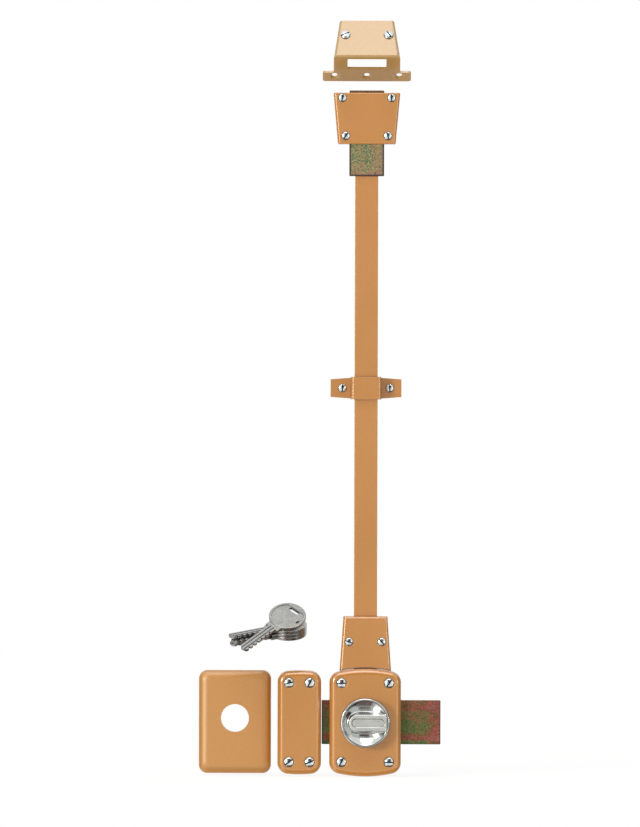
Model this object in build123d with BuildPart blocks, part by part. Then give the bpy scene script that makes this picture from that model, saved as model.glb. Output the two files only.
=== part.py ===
"""Multipoint rim lock: a knob throws a flat bolt sideways and lifts a rod with a second bolt.

+Z runs up the door and +X to the right seen from the front, and the front faces -Y. The door
plane is y = 0, and the origin is where the knob's axis meets it. A depth is a distance in front
of the door plane, along -Y, so what stands behind the door plane has a negative depth. Both
bolts are drawn back, as the lock rests. All sizes are in millimetres.
"""

import os
from math import acos, atan, cos, degrees, pi, radians, sin, sqrt, tan

from build123d import *

# Clearances and sheet
GAP = 0.3
FIT = 0.05
HOLE_GAP = 0.15
SHEET = 2.0
WALL = 2.5
RIM = 5.0
BEND = 2.5
EDGE = 1.0

# Lock case
CASE_WIDTH = 61.8
CASE_HEIGHT = 93.1
CASE_DEPTH = 24.0
CASE_CROWN = 4.5
CASE_CORNER = 9.5
CASE_SCREWS_SIDE = 10.4
CASE_SCREWS_END = 12.55
POST_R = 5.0

# Side strike
STRIKE_WIDTH = 37.6
STRIKE_HEIGHT = 89.8
STRIKE_CROWN = 1.6
STRIKE_DEPTH = 24.0
STRIKE_GAP = 7.1
STRIKE_SCREWS_SIDE = 9.85
STRIKE_SCREWS_END = 10.75
STRIKE_POST_R = 4.5

# Through screws of the case and the side strike
SCREW_R = 2.5
HEAD_R = 4.1
HEAD_HEIGHT = 2.2
HEAD_SINK = 0.8
SCREW_REACH = 25.0
SCREW_NECK = 0.3
DOME_EDGE = 0.45
DRIVE_WIDTH = 0.3
DRIVE_DEPTH = 0.55
SINK_ANGLE = 45

# Small screws of the rod's covers
SMALL_SCREW_R = 1.9
SMALL_HEAD_R = 3.5
SMALL_HEAD_HEIGHT = 1.9
SMALL_SINK = 0.5
SMALL_REACH = 18.0
SMALL_POST_WALL = 1.4

# Side bolt
BOLT_HEIGHT = 38.0
BOLT_THICK = 8.0
BOLT_TAIL = 34.1
BOLT_NOSE_GAP = 0.5

# Gearing
MODULE = 1.0
SIDE_TEETH = 8
ROD_TEETH = 10
PRESSURE = radians(28)
ADDENDUM = 0.8
DEDENDUM = 1.05
BACKLASH = 0.13
SHAFT_R = 5.0
JOURNAL_R = 4.0

# Rod and its slider
ROD_WIDTH = 20.0
ROD_THICK = 5.0
SLIDER_THICK = 4.5
SLIDER_FOOT = 2.4
SLIDER_ROOM = 4.134
SLIDER_SIDE_ROOM = 2.75
LAP_RISE = 0.45
LAP_LENGTH = 12.0
LINK_SCREWS_X = 10.0
LINK_HEAD_R = 3.65

# Knob
KNOB_R = 21.15
KNOB_HEIGHT = 13.5
KNOB_RIM = 2.0
KNOB_DISH = 8.0
GRIP_HEIGHT = 14.0
GRIP_LEFT = 13.8
GRIP_SLOPE = 33.0
BORE_DEPTH = 8.0
BUSH_WALL = 2.0
FLANGE = 1.5

# Link cover above the case
LINK_HEIGHT = 49.45
LINK_TOP_WIDTH = 38.1
LINK_LOW_WIDTH = 44.9
LINK_DEPTH = 19.0
LINK_SCREWS_GAP = 28.2
LINK_SCREWS_UP = 27.45

# Middle guide
STRAP_Z = 288.3
STRAP_HEIGHT = 19.6
STRAP_ARCH = 26.0
STRAP_WIDTH = 61.2
EAR_HEIGHT = 18.1
EAR_TIP_HEIGHT = 15.4
STRAP_SCREWS_X = 40.8

# Top guide
GUIDE_LOW = 498.7
GUIDE_HEIGHT = 44.3
GUIDE_TOP_WIDTH = 57.7
GUIDE_LOW_WIDTH = 49.8
GUIDE_SCREWS_TOP_X = 42.3
GUIDE_SCREWS_LOW_X = 36.3
GUIDE_SCREWS_IN = 4.5
GUIDE_SCREWS_UP = 7.0

# Top bolt
TOP_BOLT_WIDTH = 30.0
TOP_BOLT_THICK = 8.0
TOP_BOLT_ABOVE = 2.0
TOP_BOLT_BELOW = 27.5
SOCKET_DEPTH = 25.0
BOLT_PIN_R = 1.75

# Top strike: a folded keeper that leans back
KEEPER_RISE = 30.6
KEEPER_PROUD = 3.3
KEEPER_LEAN = 33.0
KEEPER_FRONT = 38.4
KEEPER_FLOOR = 36.4
KEEPER_TOP_WIDTH = 47.3
KEEPER_LOW_WIDTH = 57.3
SLOT_START = 3.35
SLOT_SIDE_ROOM = 1.75
SLOT_ROOM = 6.2
EARS_WIDTH = 76.3
EARS_START = 23.35
EARS_HOLES_IN = 5.2
EARS_HOLES_X = 27.9
EARS_HOLE_R = 2.5
EARS_SINK_R = 4.3
EARS_SINK_DEPTH = 1.2
KEEPER_SCREWS_X = 37.3
KEEPER_SCREWS_UP = 23.2

# Outer plate
PLATE_GAP = 5.6
PLATE_OVER_SIDE = 0.3
PLATE_OVER_END = 2.45
PLATE_CORNER = 7.5
PLATE_DEPTH = 8.5
PLATE_WALL = 2.0
PLATE_EDGE = 2.5
PLATE_FLANK = 8.0
PLATE_HOLE_R = 12.0
TAP_R = 2.1
TAP_DEPTH = 5.0

# Round cylinder behind the case
BARREL_R = 11.5
BARREL_RISE = 3.2
BARREL_LENGTH = 45.0
PLUG_R = 6.0
PLUG_HEAD_R = 6.8
PLUG_HEAD = 2.0
PLUG_INSET = 2.0
CLIP_R = 7.2
CLIP_THICK = 1.0
CLIP_GROOVE = 1.0
PIN_COUNT = 5
PIN_PITCH = 5.2
PIN_FIRST = 9.0
PIN_R = 1.4
PIN_TOP = 13.4
PIN_STEP = 1.0
DRIVER_LENGTH = 3.0
SPRING_WALL = 0.5
KEYWAY_WIDTH = 2.4
KEYWAY_HEIGHT = 8.0
TAIL_WIDTH = 4.2
TAIL_THICK = 1.2
TAIL_IN_PLUG = 5.0
TAIL_IN_SHAFT = 6.0
CYL_SCREWS_X = 13.6
CYL_SCREWS_RISE = 5.4
CYL_SCREW_R = 1.5
CYL_HEAD_R = 2.7
CYL_SCREW_REACH = 8.0

# Spring that steadies the side bolt
LEAF_LENGTH = 36.0
LEAF_SAG = 5.0
LEAF_THICK = 0.6
LEAF_WIDTH = 6.0
LEAF_PEG_R = 1.5

# Keys
KEY_BOW_R = 16.0
KEY_THICK = 3.1
KEY_REACH = 56.0
KEY_BLADE_WIDTH = 8.0
KEY_BLADE_THICK = 2.2
KEY_NECK_WIDTH = 13.5
KEY_NECK_END = 20.0
KEY_FIELD = 0.4
KEY_FIELD_EDGE = 2.2
KEY_SLOT_LENGTH = 11.0
KEY_SLOT_WIDTH = 3.4
KEY_SLOT_OUT = 10.0
KEY_DIMPLE_R = 1.0
KEY_GROOVE = 0.5
KEY_GROOVE_WIDTH = 1.2
KEY_CUT = 1.4
KEY_CUT_PITCH = 5.0
KEY_CUT_WIDTH = 3.6
KEY_CUT_SLOPE = 70
KEY_CUTS = 6
KEY_TIP_BEVEL = 2.0
KEY_STACK_LEFT = 9.7
KEY_STACK_DEPTH = 15.0
KEY_STACK_RISE = 31.4
KEY_TABLE_TILT = 22.0
KEY_TOP_TILT = 42.0
KEY_TOP_LEFT = 0.7
KEY_TOP_UP = 16.25
KEY_TOP_TURN = 46.9
KEY_STACK_TURNS = (28.5, 31.0, 26.0)

# Places that follow from the sizes, as depths in front of the door plane
bolt_back = SHEET + GAP
bolt_front = bolt_back + BOLT_THICK
slider_back = bolt_front + GAP
slider_front = slider_back + SLIDER_THICK
rod_front = slider_back + ROD_THICK
rod_middle = slider_back + ROD_THICK / 2
top_bolt_back = rod_middle - TOP_BOLT_THICK / 2
top_bolt_front = rod_middle + TOP_BOLT_THICK / 2
guide_depth = top_bolt_front + GAP + SHEET
case_inside = CASE_DEPTH - WALL
knob_back = CASE_DEPTH + GAP
knob_front = knob_back + KNOB_HEIGHT

# Heights and widths that follow from the sizes
side_pitch_r = MODULE * SIDE_TEETH / 2
rod_pitch_r = MODULE * ROD_TEETH / 2
rod_tip_r = rod_pitch_r + ADDENDUM * MODULE
rod_lift = CASE_HEIGHT / 2 - WALL - SLIDER_ROOM - SLIDER_FOOT - GAP - rod_tip_r
knob_turn = rod_lift / rod_pitch_r
bolt_throw = side_pitch_r * knob_turn
tooth_pitch = pi * MODULE
case_screws_x = CASE_WIDTH - 2 * CASE_SCREWS_SIDE
case_screws_z = CASE_HEIGHT - 2 * CASE_SCREWS_END
strike_right = -CASE_WIDTH / 2 - STRIKE_GAP
strike_x = strike_right - STRIKE_WIDTH / 2
plate_width = CASE_WIDTH + 2 * PLATE_OVER_SIDE
plate_height = CASE_HEIGHT - 2 * CASE_CROWN + 2 * PLATE_OVER_END
plate_x = strike_right - STRIKE_WIDTH - PLATE_GAP - plate_width / 2
lap_low = CASE_HEIGHT / 2 + LAP_RISE
lap_top = lap_low + LAP_LENGTH
lap_middle = (lap_low + lap_top) / 2
guide_top = GUIDE_LOW + GUIDE_HEIGHT
keeper_fold_z = guide_top + KEEPER_RISE
keeper_fold_depth = guide_depth + KEEPER_PROUD
top_bolt_low = GUIDE_LOW - TOP_BOLT_BELOW
top_bolt_top = guide_top + TOP_BOLT_ABOVE
crown_r = (CASE_WIDTH**2 / 4 + CASE_CROWN**2) / (2 * CASE_CROWN)


def front(depth, x=0.0, z=0.0):
    """Plane that faces the front at this depth, with its own origin at x and z."""
    return Plane(origin=(x, -depth, z), x_dir=(1, 0, 0), z_dir=(0, -1, 0))


def corners(width, height, x=0.0, z=0.0):
    """The four corners of a rectangle of screws around a centre."""
    return [(x + i * width / 2, z + j * height / 2) for i in (-1, 1) for j in (1, -1)]


def pair(width, z):
    """Two screws side by side at one height."""
    return [(-width / 2, z), (width / 2, z)]


def save(builder, name):
    """Labels a finished piece and writes it as its own file."""
    builder.part.label = name
    export_step(builder.part, f"parts/{name}.step")


def arched_outline(width, height, crown, corner):
    """Outline with straight sides, arched top and bottom edges and round corners."""
    shoulder = height / 2 - crown
    with BuildSketch() as outline:
        with BuildLine():
            Line((-width / 2, -shoulder), (-width / 2, shoulder))
            ThreePointArc((-width / 2, shoulder), (0, height / 2), (width / 2, shoulder))
            Line((width / 2, shoulder), (width / 2, -shoulder))
            ThreePointArc((width / 2, -shoulder), (0, -height / 2), (-width / 2, -shoulder))
        make_face()
        fillet(outline.vertices(), corner)
    return outline.sketch


def tapered_outline(low_width, top_width, low, height, inset=0.0):
    """Outline with slanted sides, from its lower edge up, drawn in by the inset all round."""
    slant = (top_width - low_width) / 2 / height
    side = inset * sqrt(1 + slant**2)
    low_half = low_width / 2 - side + slant * inset
    top_half = top_width / 2 - side - slant * inset
    with BuildSketch() as outline:
        with BuildLine():
            Polyline(
                (-low_half, low + inset),
                (low_half, low + inset),
                (top_half, low + height - inset),
                (-top_half, low + height - inset),
                close=True,
            )
        make_face()
    return outline.sketch


def drill(places, radius, start, end):
    """Cuts round holes through the part that is being built, from one depth to another."""
    with BuildSketch(front(start)) as holes:
        with Locations(*places):
            Circle(radius)
    extrude(holes.sketch, amount=end - start, mode=Mode.SUBTRACT)


def raise_posts(places, outer_r, start, end):
    """Adds round posts to the part that is being built."""
    with BuildSketch(front(start)) as posts:
        with Locations(*places):
            Circle(outer_r)
    extrude(posts.sketch, amount=end - start)


def domed_screws(places, seat, wall, head_r, head_height, shank_r, reach, turns):
    """Group of slotted screws with heads on the seat depth, necks in the wall, threads behind."""
    edge = head_height * DOME_EDGE
    neck_r = shank_r - SCREW_NECK
    with BuildPart() as screws:
        for (x, z), turn in zip(places, turns):
            with BuildSketch(Plane(origin=(x, -seat, z), x_dir=(1, 0, 0), z_dir=(0, 0, 1))) as half:
                with BuildLine():
                    Polyline(
                        (0, -head_height),
                        (0, seat + reach),
                        (shank_r - EDGE / 2, seat + reach),
                        (shank_r, seat + reach - EDGE / 2),
                        (shank_r, wall),
                        (neck_r, wall),
                        (neck_r, 0),
                        (head_r, 0),
                        (head_r, -edge),
                    )
                    TangentArc((0, -head_height), (head_r, -edge), tangent=(1, 0))
                make_face()
            revolve(half.sketch, axis=Axis((x, 0, z), (0, 1, 0)))
            with BuildSketch(front(seat + head_height, x, z)) as slot:
                Rectangle(3 * head_r, head_r * DRIVE_WIDTH, rotation=turn)
            extrude(slot.sketch, amount=-head_height * DRIVE_DEPTH, mode=Mode.SUBTRACT)
    return screws


def flush_screws(places, face, head_r, shank_r, reach):
    """Group of countersunk screws, heads flush with the face depth, shanks towards the back."""
    with BuildPart() as screws:
        for x, z in places:
            with BuildSketch(front(face, x, z)) as shank:
                Circle(shank_r)
            extrude(shank.sketch, amount=-reach)
            with BuildSketch(front(face, x, z)) as head:
                Circle(head_r)
            extrude(head.sketch, amount=shank_r - head_r, taper=SINK_ANGLE)
            with BuildSketch(front(face, x, z)) as slot:
                Rectangle(3 * head_r, head_r * DRIVE_WIDTH)
            extrude(slot.sketch, amount=-head_r * DRIVE_WIDTH, mode=Mode.SUBTRACT)
    return screws


def countersink(places, face, head_r, shank_r, depth):
    """Cuts countersunk holes from the face depth towards the back."""
    with BuildSketch(front(face)) as holes:
        with Locations(*places):
            Circle(shank_r + HOLE_GAP)
    extrude(holes.sketch, amount=-depth, mode=Mode.SUBTRACT)
    with BuildSketch(front(face)) as mouths:
        with Locations(*places):
            Circle(head_r + HOLE_GAP)
    extrude(mouths.sketch, amount=shank_r - head_r, taper=SINK_ANGLE, mode=Mode.SUBTRACT)


def cover_shell(outer, inner, depth):
    """Hollow cover, open at the back, with a round rim along its front edge."""
    with BuildPart() as shell:
        with BuildSketch(front(0)):
            add(outer)
        extrude(amount=depth)
        fillet(shell.faces().sort_by(Axis.Y)[0].edges(), RIM)
        with BuildSketch(front(0)):
            add(inner)
        extrude(amount=depth - WALL, mode=Mode.SUBTRACT)
    return shell


def involute(angle):
    """Involute function of an angle in radians."""
    return tan(angle) - angle


def pinion_outline(teeth, first):
    """Outline of a pinion with involute teeth, one of them centred on the first angle."""
    pitch_r = MODULE * teeth / 2
    base_r = pitch_r * cos(PRESSURE)
    tip_r = pitch_r + ADDENDUM * MODULE
    root_r = pitch_r - DEDENDUM * MODULE
    middle_r = (base_r + tip_r) / 2
    at_pitch = (tooth_pitch / 2 - BACKLASH / 2) / (2 * pitch_r)

    def flank(radius, side):
        """Point of a tooth's flank at this radius."""
        turn = side * (at_pitch + involute(PRESSURE) - involute(acos(base_r / radius)))
        return (radius * cos(turn), radius * sin(turn))

    with BuildSketch() as tooth:
        with BuildLine():
            Line((0, 0), flank(base_r, -1))
            ThreePointArc(flank(base_r, -1), flank(middle_r, -1), flank(tip_r, -1))
            ThreePointArc(flank(tip_r, -1), (tip_r, 0), flank(tip_r, 1))
            ThreePointArc(flank(tip_r, 1), flank(middle_r, 1), flank(base_r, 1))
            Line(flank(base_r, 1), (0, 0))
        make_face()
    with BuildSketch() as outline:
        Circle(root_r)
        with PolarLocations(0, teeth, start_angle=first):
            add(tooth.sketch)
    return outline.sketch


def rack_tooth():
    """Rack tooth on its pitch line, pointing down, with its root a little inside the rack."""
    half = tooth_pitch / 4 - BACKLASH / 4
    tip = ADDENDUM * MODULE
    root = DEDENDUM * MODULE
    lean = tan(PRESSURE)
    with BuildSketch() as tooth:
        with BuildLine():
            Polyline(
                (-half + tip * lean, -tip),
                (half - tip * lean, -tip),
                (half + root * lean, root),
                (-half - root * lean, root),
                close=True,
            )
        make_face()
    return tooth.sketch


os.makedirs("parts", exist_ok=True)

# Lock case
case_outer = arched_outline(CASE_WIDTH, CASE_HEIGHT, CASE_CROWN, CASE_CORNER)
case_inner = arched_outline(
    CASE_WIDTH - 2 * WALL, CASE_HEIGHT - 2 * WALL, CASE_CROWN, CASE_CORNER - WALL
)
case_places = corners(case_screws_x, case_screws_z)
case_shell = cover_shell(case_outer, case_inner, CASE_DEPTH)
bolt_slot_depth = BOLT_THICK + 2 * GAP
bolt_slot_middle = (bolt_back + bolt_front) / 2
bush_r = SHAFT_R + FIT + BUSH_WALL

with BuildPart() as case_cover:
    add(case_shell.part)
    with Locations((0, -bolt_slot_middle, 0)):
        Box(2 * CASE_WIDTH, bolt_slot_depth, BOLT_HEIGHT + 2 * GAP, mode=Mode.SUBTRACT)
    with Locations((0, -(slider_back + slider_front) / 2, CASE_HEIGHT / 2)):
        Box(ROD_WIDTH + 2 * GAP, SLIDER_THICK + 2 * GAP, 4 * WALL, mode=Mode.SUBTRACT)
    drill([(0, 0)], bush_r + FIT, case_inside, CASE_DEPTH)
    drill(case_places, SCREW_R + HOLE_GAP, case_inside, CASE_DEPTH)
    drill(case_places, HEAD_R + GAP, CASE_DEPTH - HEAD_SINK, CASE_DEPTH)
save(case_cover, "case_cover")

case_screws = domed_screws(
    case_places,
    CASE_DEPTH - HEAD_SINK,
    CASE_DEPTH - HEAD_SINK,
    HEAD_R,
    HEAD_HEIGHT,
    SCREW_R,
    SCREW_REACH,
    (0, 62, 55, -2),
)
save(case_screws, "case_screws")

# Back plate with the posts that the screws pass through
back_outline = arched_outline(
    CASE_WIDTH - 2 * WALL - 2 * HOLE_GAP,
    CASE_HEIGHT - 2 * WALL - 2 * HOLE_GAP,
    CASE_CROWN,
    CASE_CORNER - WALL,
)
cylinder_places = pair(CYL_SCREWS_X, BARREL_RISE + CYL_SCREWS_RISE)
leaf_low = -BOLT_HEIGHT / 2 - GAP - LEAF_SAG - LEAF_THICK
peg_places = pair(LEAF_LENGTH - 4 * LEAF_PEG_R, leaf_low - LEAF_PEG_R)
leaf_back = bolt_back + EDGE

with BuildPart() as back_plate:
    with BuildSketch(front(0)):
        add(back_outline)
    extrude(amount=SHEET)
    raise_posts(case_places, POST_R, 0, case_inside)
    raise_posts(peg_places, LEAF_PEG_R, 0, leaf_back + LEAF_WIDTH)
    drill(case_places, SCREW_R + HOLE_GAP, 0, case_inside)
    drill([(0, 0)], JOURNAL_R + FIT, 0, SHEET)
    countersink(cylinder_places, SHEET, CYL_HEAD_R, CYL_SCREW_R, SHEET)
save(back_plate, "back_plate")

# Spring under the side bolt, a shallow arch that stands on two pegs
with BuildPart() as bolt_spring:
    with BuildSketch(front(leaf_back)):
        with BuildLine():
            top = ThreePointArc(
                (-LEAF_LENGTH / 2, leaf_low + LEAF_THICK),
                (0, -BOLT_HEIGHT / 2 - GAP),
                (LEAF_LENGTH / 2, leaf_low + LEAF_THICK),
            )
            low = ThreePointArc(
                (-LEAF_LENGTH / 2, leaf_low),
                (0, -BOLT_HEIGHT / 2 - GAP - LEAF_THICK),
                (LEAF_LENGTH / 2, leaf_low),
            )
            Line(top @ 0, low @ 0)
            Line(top @ 1, low @ 1)
        make_face()
    extrude(amount=LEAF_WIDTH)
save(bolt_spring, "bolt_spring")

# Side bolt: a flat bar with a toothed window over the small pinion
bolt_left = strike_right + BOLT_NOSE_GAP
bolt_right = CASE_WIDTH / 2 + BOLT_TAIL
side_tip_r = side_pitch_r + ADDENDUM * MODULE
window_left = -side_tip_r - GAP
window_right = bolt_throw + side_tip_r + GAP
window_low = -side_tip_r - GAP
window_top = side_pitch_r + DEDENDUM * MODULE
side_rack_teeth = int((window_right - window_left) / tooth_pitch)

with BuildPart() as side_bolt:
    with BuildSketch(front(bolt_back)):
        with Locations(((bolt_left + bolt_right) / 2, 0)):
            Rectangle(bolt_right - bolt_left, BOLT_HEIGHT)
    extrude(amount=BOLT_THICK)
    chamfer(side_bolt.edges(), EDGE / 2)
    with BuildSketch(front(bolt_back)):
        with Locations(((window_left + window_right) / 2, (window_low + window_top) / 2)):
            Rectangle(window_right - window_left, window_top - window_low)
        for i in range(side_rack_teeth):
            with Locations(((i - 0.5) * tooth_pitch, side_pitch_r)):
                add(rack_tooth(), mode=Mode.SUBTRACT)
    extrude(amount=BOLT_THICK, mode=Mode.SUBTRACT)
save(side_bolt, "side_bolt")

# Drive shaft with both pinions in one piece
collar_back = slider_front + GAP
bush_flange_back = case_inside - FLANGE
collar_front = bush_flange_back - GAP

with BuildPart() as drive_shaft:
    with BuildSketch(front(-EDGE)):
        Circle(JOURNAL_R)
    extrude(amount=EDGE + bolt_back)
    with BuildSketch(front(bolt_back)):
        add(pinion_outline(SIDE_TEETH, 90))
    extrude(amount=slider_back - bolt_back)
    with BuildSketch(front(slider_back)):
        add(pinion_outline(ROD_TEETH, 0))
    extrude(amount=SLIDER_THICK)
    with BuildSketch(front(slider_front)):
        Circle(SHAFT_R)
    extrude(amount=knob_back + BORE_DEPTH - GAP - slider_front)
    with BuildSketch(front(collar_back)):
        Circle(bush_r)
    extrude(amount=collar_front - collar_back)
    with BuildSketch(front(-EDGE)):
        Rectangle(TAIL_WIDTH + GAP, TAIL_THICK + GAP)
    extrude(amount=EDGE + TAIL_IN_SHAFT + GAP, mode=Mode.SUBTRACT)
save(drive_shaft, "drive_shaft")

# Bush of the shaft in the case
with BuildPart() as knob_bush:
    with BuildSketch(front(bush_flange_back)):
        Circle(bush_r + BUSH_WALL)
    extrude(amount=FLANGE)
    with BuildSketch(front(case_inside)):
        Circle(bush_r)
    extrude(amount=WALL)
    drill([(0, 0)], SHAFT_R + FIT, bush_flange_back, CASE_DEPTH)
save(knob_bush, "knob_bush")

# Knob: a dished disc with a grip bar that runs into its rim at the right
dish_r = KNOB_R - KNOB_RIM
dish_sphere_r = (dish_r**2 + KNOB_DISH**2) / (2 * KNOB_DISH)
grub_r = SMALL_SCREW_R
grub_depth = knob_back + BORE_DEPTH / 2

with BuildPart() as knob:
    with BuildSketch(front(knob_back)):
        Circle(KNOB_R)
    extrude(amount=KNOB_HEIGHT)
    with Locations((0, -(knob_front - KNOB_DISH + dish_sphere_r), 0)):
        Sphere(dish_sphere_r, mode=Mode.SUBTRACT)
    with BuildSketch(front(knob_front)):
        with Locations((-GRIP_LEFT + GRIP_HEIGHT / 2, 0)):
            Circle(GRIP_HEIGHT / 2)
        with Locations(((2 * KNOB_R - GRIP_LEFT + GRIP_HEIGHT / 2) / 2, 0)):
            Rectangle(2 * KNOB_R + GRIP_LEFT - GRIP_HEIGHT / 2, GRIP_HEIGHT)
    extrude(amount=-KNOB_HEIGHT, taper=-GRIP_SLOPE)
    with BuildSketch(front(knob_back)):
        Circle(KNOB_R)
    extrude(amount=KNOB_HEIGHT, mode=Mode.INTERSECT)
    fillet(knob.faces().sort_by(Axis.Y)[-1].edges(), EDGE)
    drill([(0, 0)], SHAFT_R + FIT / 2, knob_back, knob_back + BORE_DEPTH)
    with BuildSketch(Plane.XY.offset(-KNOB_R)):
        with Locations((0, -grub_depth)):
            Circle(grub_r + FIT)
    extrude(amount=KNOB_R - SHAFT_R, mode=Mode.SUBTRACT)
save(knob, "knob")

with BuildPart() as knob_grub_screw:
    with BuildSketch(Plane.XY.offset(-KNOB_R + 3 * EDGE)):
        with Locations((0, -grub_depth)):
            Circle(grub_r)
    extrude(amount=KNOB_R - 3 * EDGE - SHAFT_R - FIT)
    with BuildSketch(Plane.XY.offset(-KNOB_R + 3 * EDGE)):
        with Locations((0, -grub_depth)):
            RegularPolygon(grub_r * 0.5, 6)
    extrude(amount=2 * EDGE, mode=Mode.SUBTRACT)
save(knob_grub_screw, "knob_grub_screw")

# Slider: a toothed frame around the large pinion, with a stem up to the rod
frame_left = -ROD_WIDTH / 2
frame_right = case_screws_x / 2 - POST_R - SLIDER_SIDE_ROOM
opening_right = rod_pitch_r + DEDENDUM * MODULE
opening_left = -rod_tip_r - GAP
opening_top = rod_tip_r + GAP
opening_low = -rod_lift - rod_tip_r - GAP
rod_rack_teeth = int((opening_top - opening_low) / tooth_pitch)
stem_low = opening_top + GAP

with BuildPart() as rod_slider:
    with BuildSketch(front(slider_back)):
        with Locations(((frame_left + frame_right) / 2, (opening_low + stem_low) / 2)):
            Rectangle(frame_right - frame_left, stem_low - opening_low + 2 * SLIDER_FOOT)
        with Locations((0, (stem_low + lap_top) / 2)):
            Rectangle(ROD_WIDTH, lap_top - stem_low)
        with Locations(((opening_left + opening_right) / 2, (opening_low + opening_top) / 2)):
            Rectangle(opening_right - opening_left, opening_top - opening_low, mode=Mode.SUBTRACT)
        for i in range(rod_rack_teeth):
            with Locations((rod_pitch_r, (1.5 - i) * tooth_pitch)):
                add(rack_tooth(), rotation=-90)
    extrude(amount=SLIDER_THICK)
    with BuildSketch(front(rod_middle)):
        with Locations((0, lap_middle)):
            Rectangle(2 * ROD_WIDTH, LAP_LENGTH)
    extrude(amount=SLIDER_THICK, mode=Mode.SUBTRACT)
    drill(pair(LINK_SCREWS_X, lap_middle), SMALL_SCREW_R + FIT, 0, rod_front)
save(rod_slider, "rod_slider")

# Rod: one flat bar, halved onto the slider and held in the top bolt
rod_top = top_bolt_low + SOCKET_DEPTH
bolt_pin_places = [(0, top_bolt_low + SOCKET_DEPTH * share) for share in (0.3, 0.7)]
link_places = pair(LINK_SCREWS_X, lap_middle)

with BuildPart() as rod:
    with BuildSketch(front(slider_back)):
        with Locations((0, (lap_low + rod_top) / 2)):
            Rectangle(ROD_WIDTH, rod_top - lap_low)
    extrude(amount=ROD_THICK)
    with BuildSketch(front(slider_back)):
        with Locations((0, lap_middle)):
            Rectangle(2 * ROD_WIDTH, LAP_LENGTH)
    extrude(amount=ROD_THICK / 2, mode=Mode.SUBTRACT)
    fillet(rod.edges().filter_by(Axis.Z).group_by(Axis.Y)[0], EDGE / 2)
    countersink(link_places, rod_front, LINK_HEAD_R, SMALL_SCREW_R, ROD_THICK)
    drill(bolt_pin_places, BOLT_PIN_R + FIT, slider_back, rod_front)
save(rod, "rod")

link_screws = flush_screws(link_places, rod_front, LINK_HEAD_R, SMALL_SCREW_R, ROD_THICK)
save(link_screws, "link_screws")

# Top bolt with a blind socket for the rod
with BuildPart() as top_bolt:
    with BuildSketch(front(top_bolt_back)):
        with Locations((0, (top_bolt_low + top_bolt_top) / 2)):
            Rectangle(TOP_BOLT_WIDTH, top_bolt_top - top_bolt_low)
    extrude(amount=TOP_BOLT_THICK)
    chamfer(top_bolt.edges(), EDGE / 2)
    with Locations((0, -rod_middle, top_bolt_low + SOCKET_DEPTH / 2)):
        Box(ROD_WIDTH + 2 * FIT, ROD_THICK + 2 * FIT, SOCKET_DEPTH + 2 * FIT, mode=Mode.SUBTRACT)
    drill(bolt_pin_places, BOLT_PIN_R + FIT, top_bolt_back, rod_front)
save(top_bolt, "top_bolt")

with BuildPart() as top_bolt_pins:
    raise_posts(bolt_pin_places, BOLT_PIN_R, top_bolt_back + GAP, rod_front)
save(top_bolt_pins, "top_bolt_pins")

# Link cover: a tapered hood whose lower edge follows the arched top of the case
link_low = CASE_HEIGHT / 2 - CASE_CROWN
link_outer = tapered_outline(LINK_LOW_WIDTH, LINK_TOP_WIDTH, link_low, LINK_HEIGHT)
link_inner = tapered_outline(
    LINK_LOW_WIDTH, LINK_TOP_WIDTH, link_low - 2 * SHEET, LINK_HEIGHT + 2 * SHEET, SHEET
)
link_cover_places = pair(LINK_SCREWS_GAP, link_low + LINK_SCREWS_UP)
link_post_r = SMALL_SCREW_R + SMALL_POST_WALL

with BuildPart() as link_cover:
    with BuildSketch(front(0)):
        add(link_outer)
    extrude(amount=LINK_DEPTH)
    fillet(link_cover.edges().group_by(Axis.Y)[0].sort_by(Axis.Z)[1:], BEND)
    with BuildSketch(front(0)):
        add(link_inner)
    extrude(amount=LINK_DEPTH - SHEET, mode=Mode.SUBTRACT)
    raise_posts(link_cover_places, link_post_r, 0, LINK_DEPTH - SHEET)
    with Locations((0, -rod_middle, link_low + LINK_HEIGHT)):
        Box(ROD_WIDTH + 2 * GAP, ROD_THICK + 2 * GAP, 4 * SHEET, mode=Mode.SUBTRACT)
    with BuildSketch(front(0)):
        with Locations((0, CASE_HEIGHT / 2 - crown_r)):
            Circle(crown_r + GAP)
    extrude(amount=LINK_DEPTH, mode=Mode.SUBTRACT)
    drill(link_cover_places, SMALL_SCREW_R + HOLE_GAP, 0, LINK_DEPTH)
    drill(link_cover_places, SMALL_HEAD_R + GAP, LINK_DEPTH - SMALL_SINK, LINK_DEPTH)
save(link_cover, "link_cover")

link_cover_screws = domed_screws(
    link_cover_places,
    LINK_DEPTH - SMALL_SINK,
    LINK_DEPTH - SMALL_SINK,
    SMALL_HEAD_R,
    SMALL_HEAD_HEIGHT,
    SMALL_SCREW_R,
    SMALL_REACH,
    (-20, -45),
)
save(link_cover_screws, "link_cover_screws")

# Middle guide: a strap bent over the rod, with tapered ears
arch_inside = rod_front + GAP
strap_outer = STRAP_ARCH / 2
strap_inner = strap_outer - SHEET
ear = STRAP_WIDTH / 2
strap_places = pair(STRAP_SCREWS_X, STRAP_Z)

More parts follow.
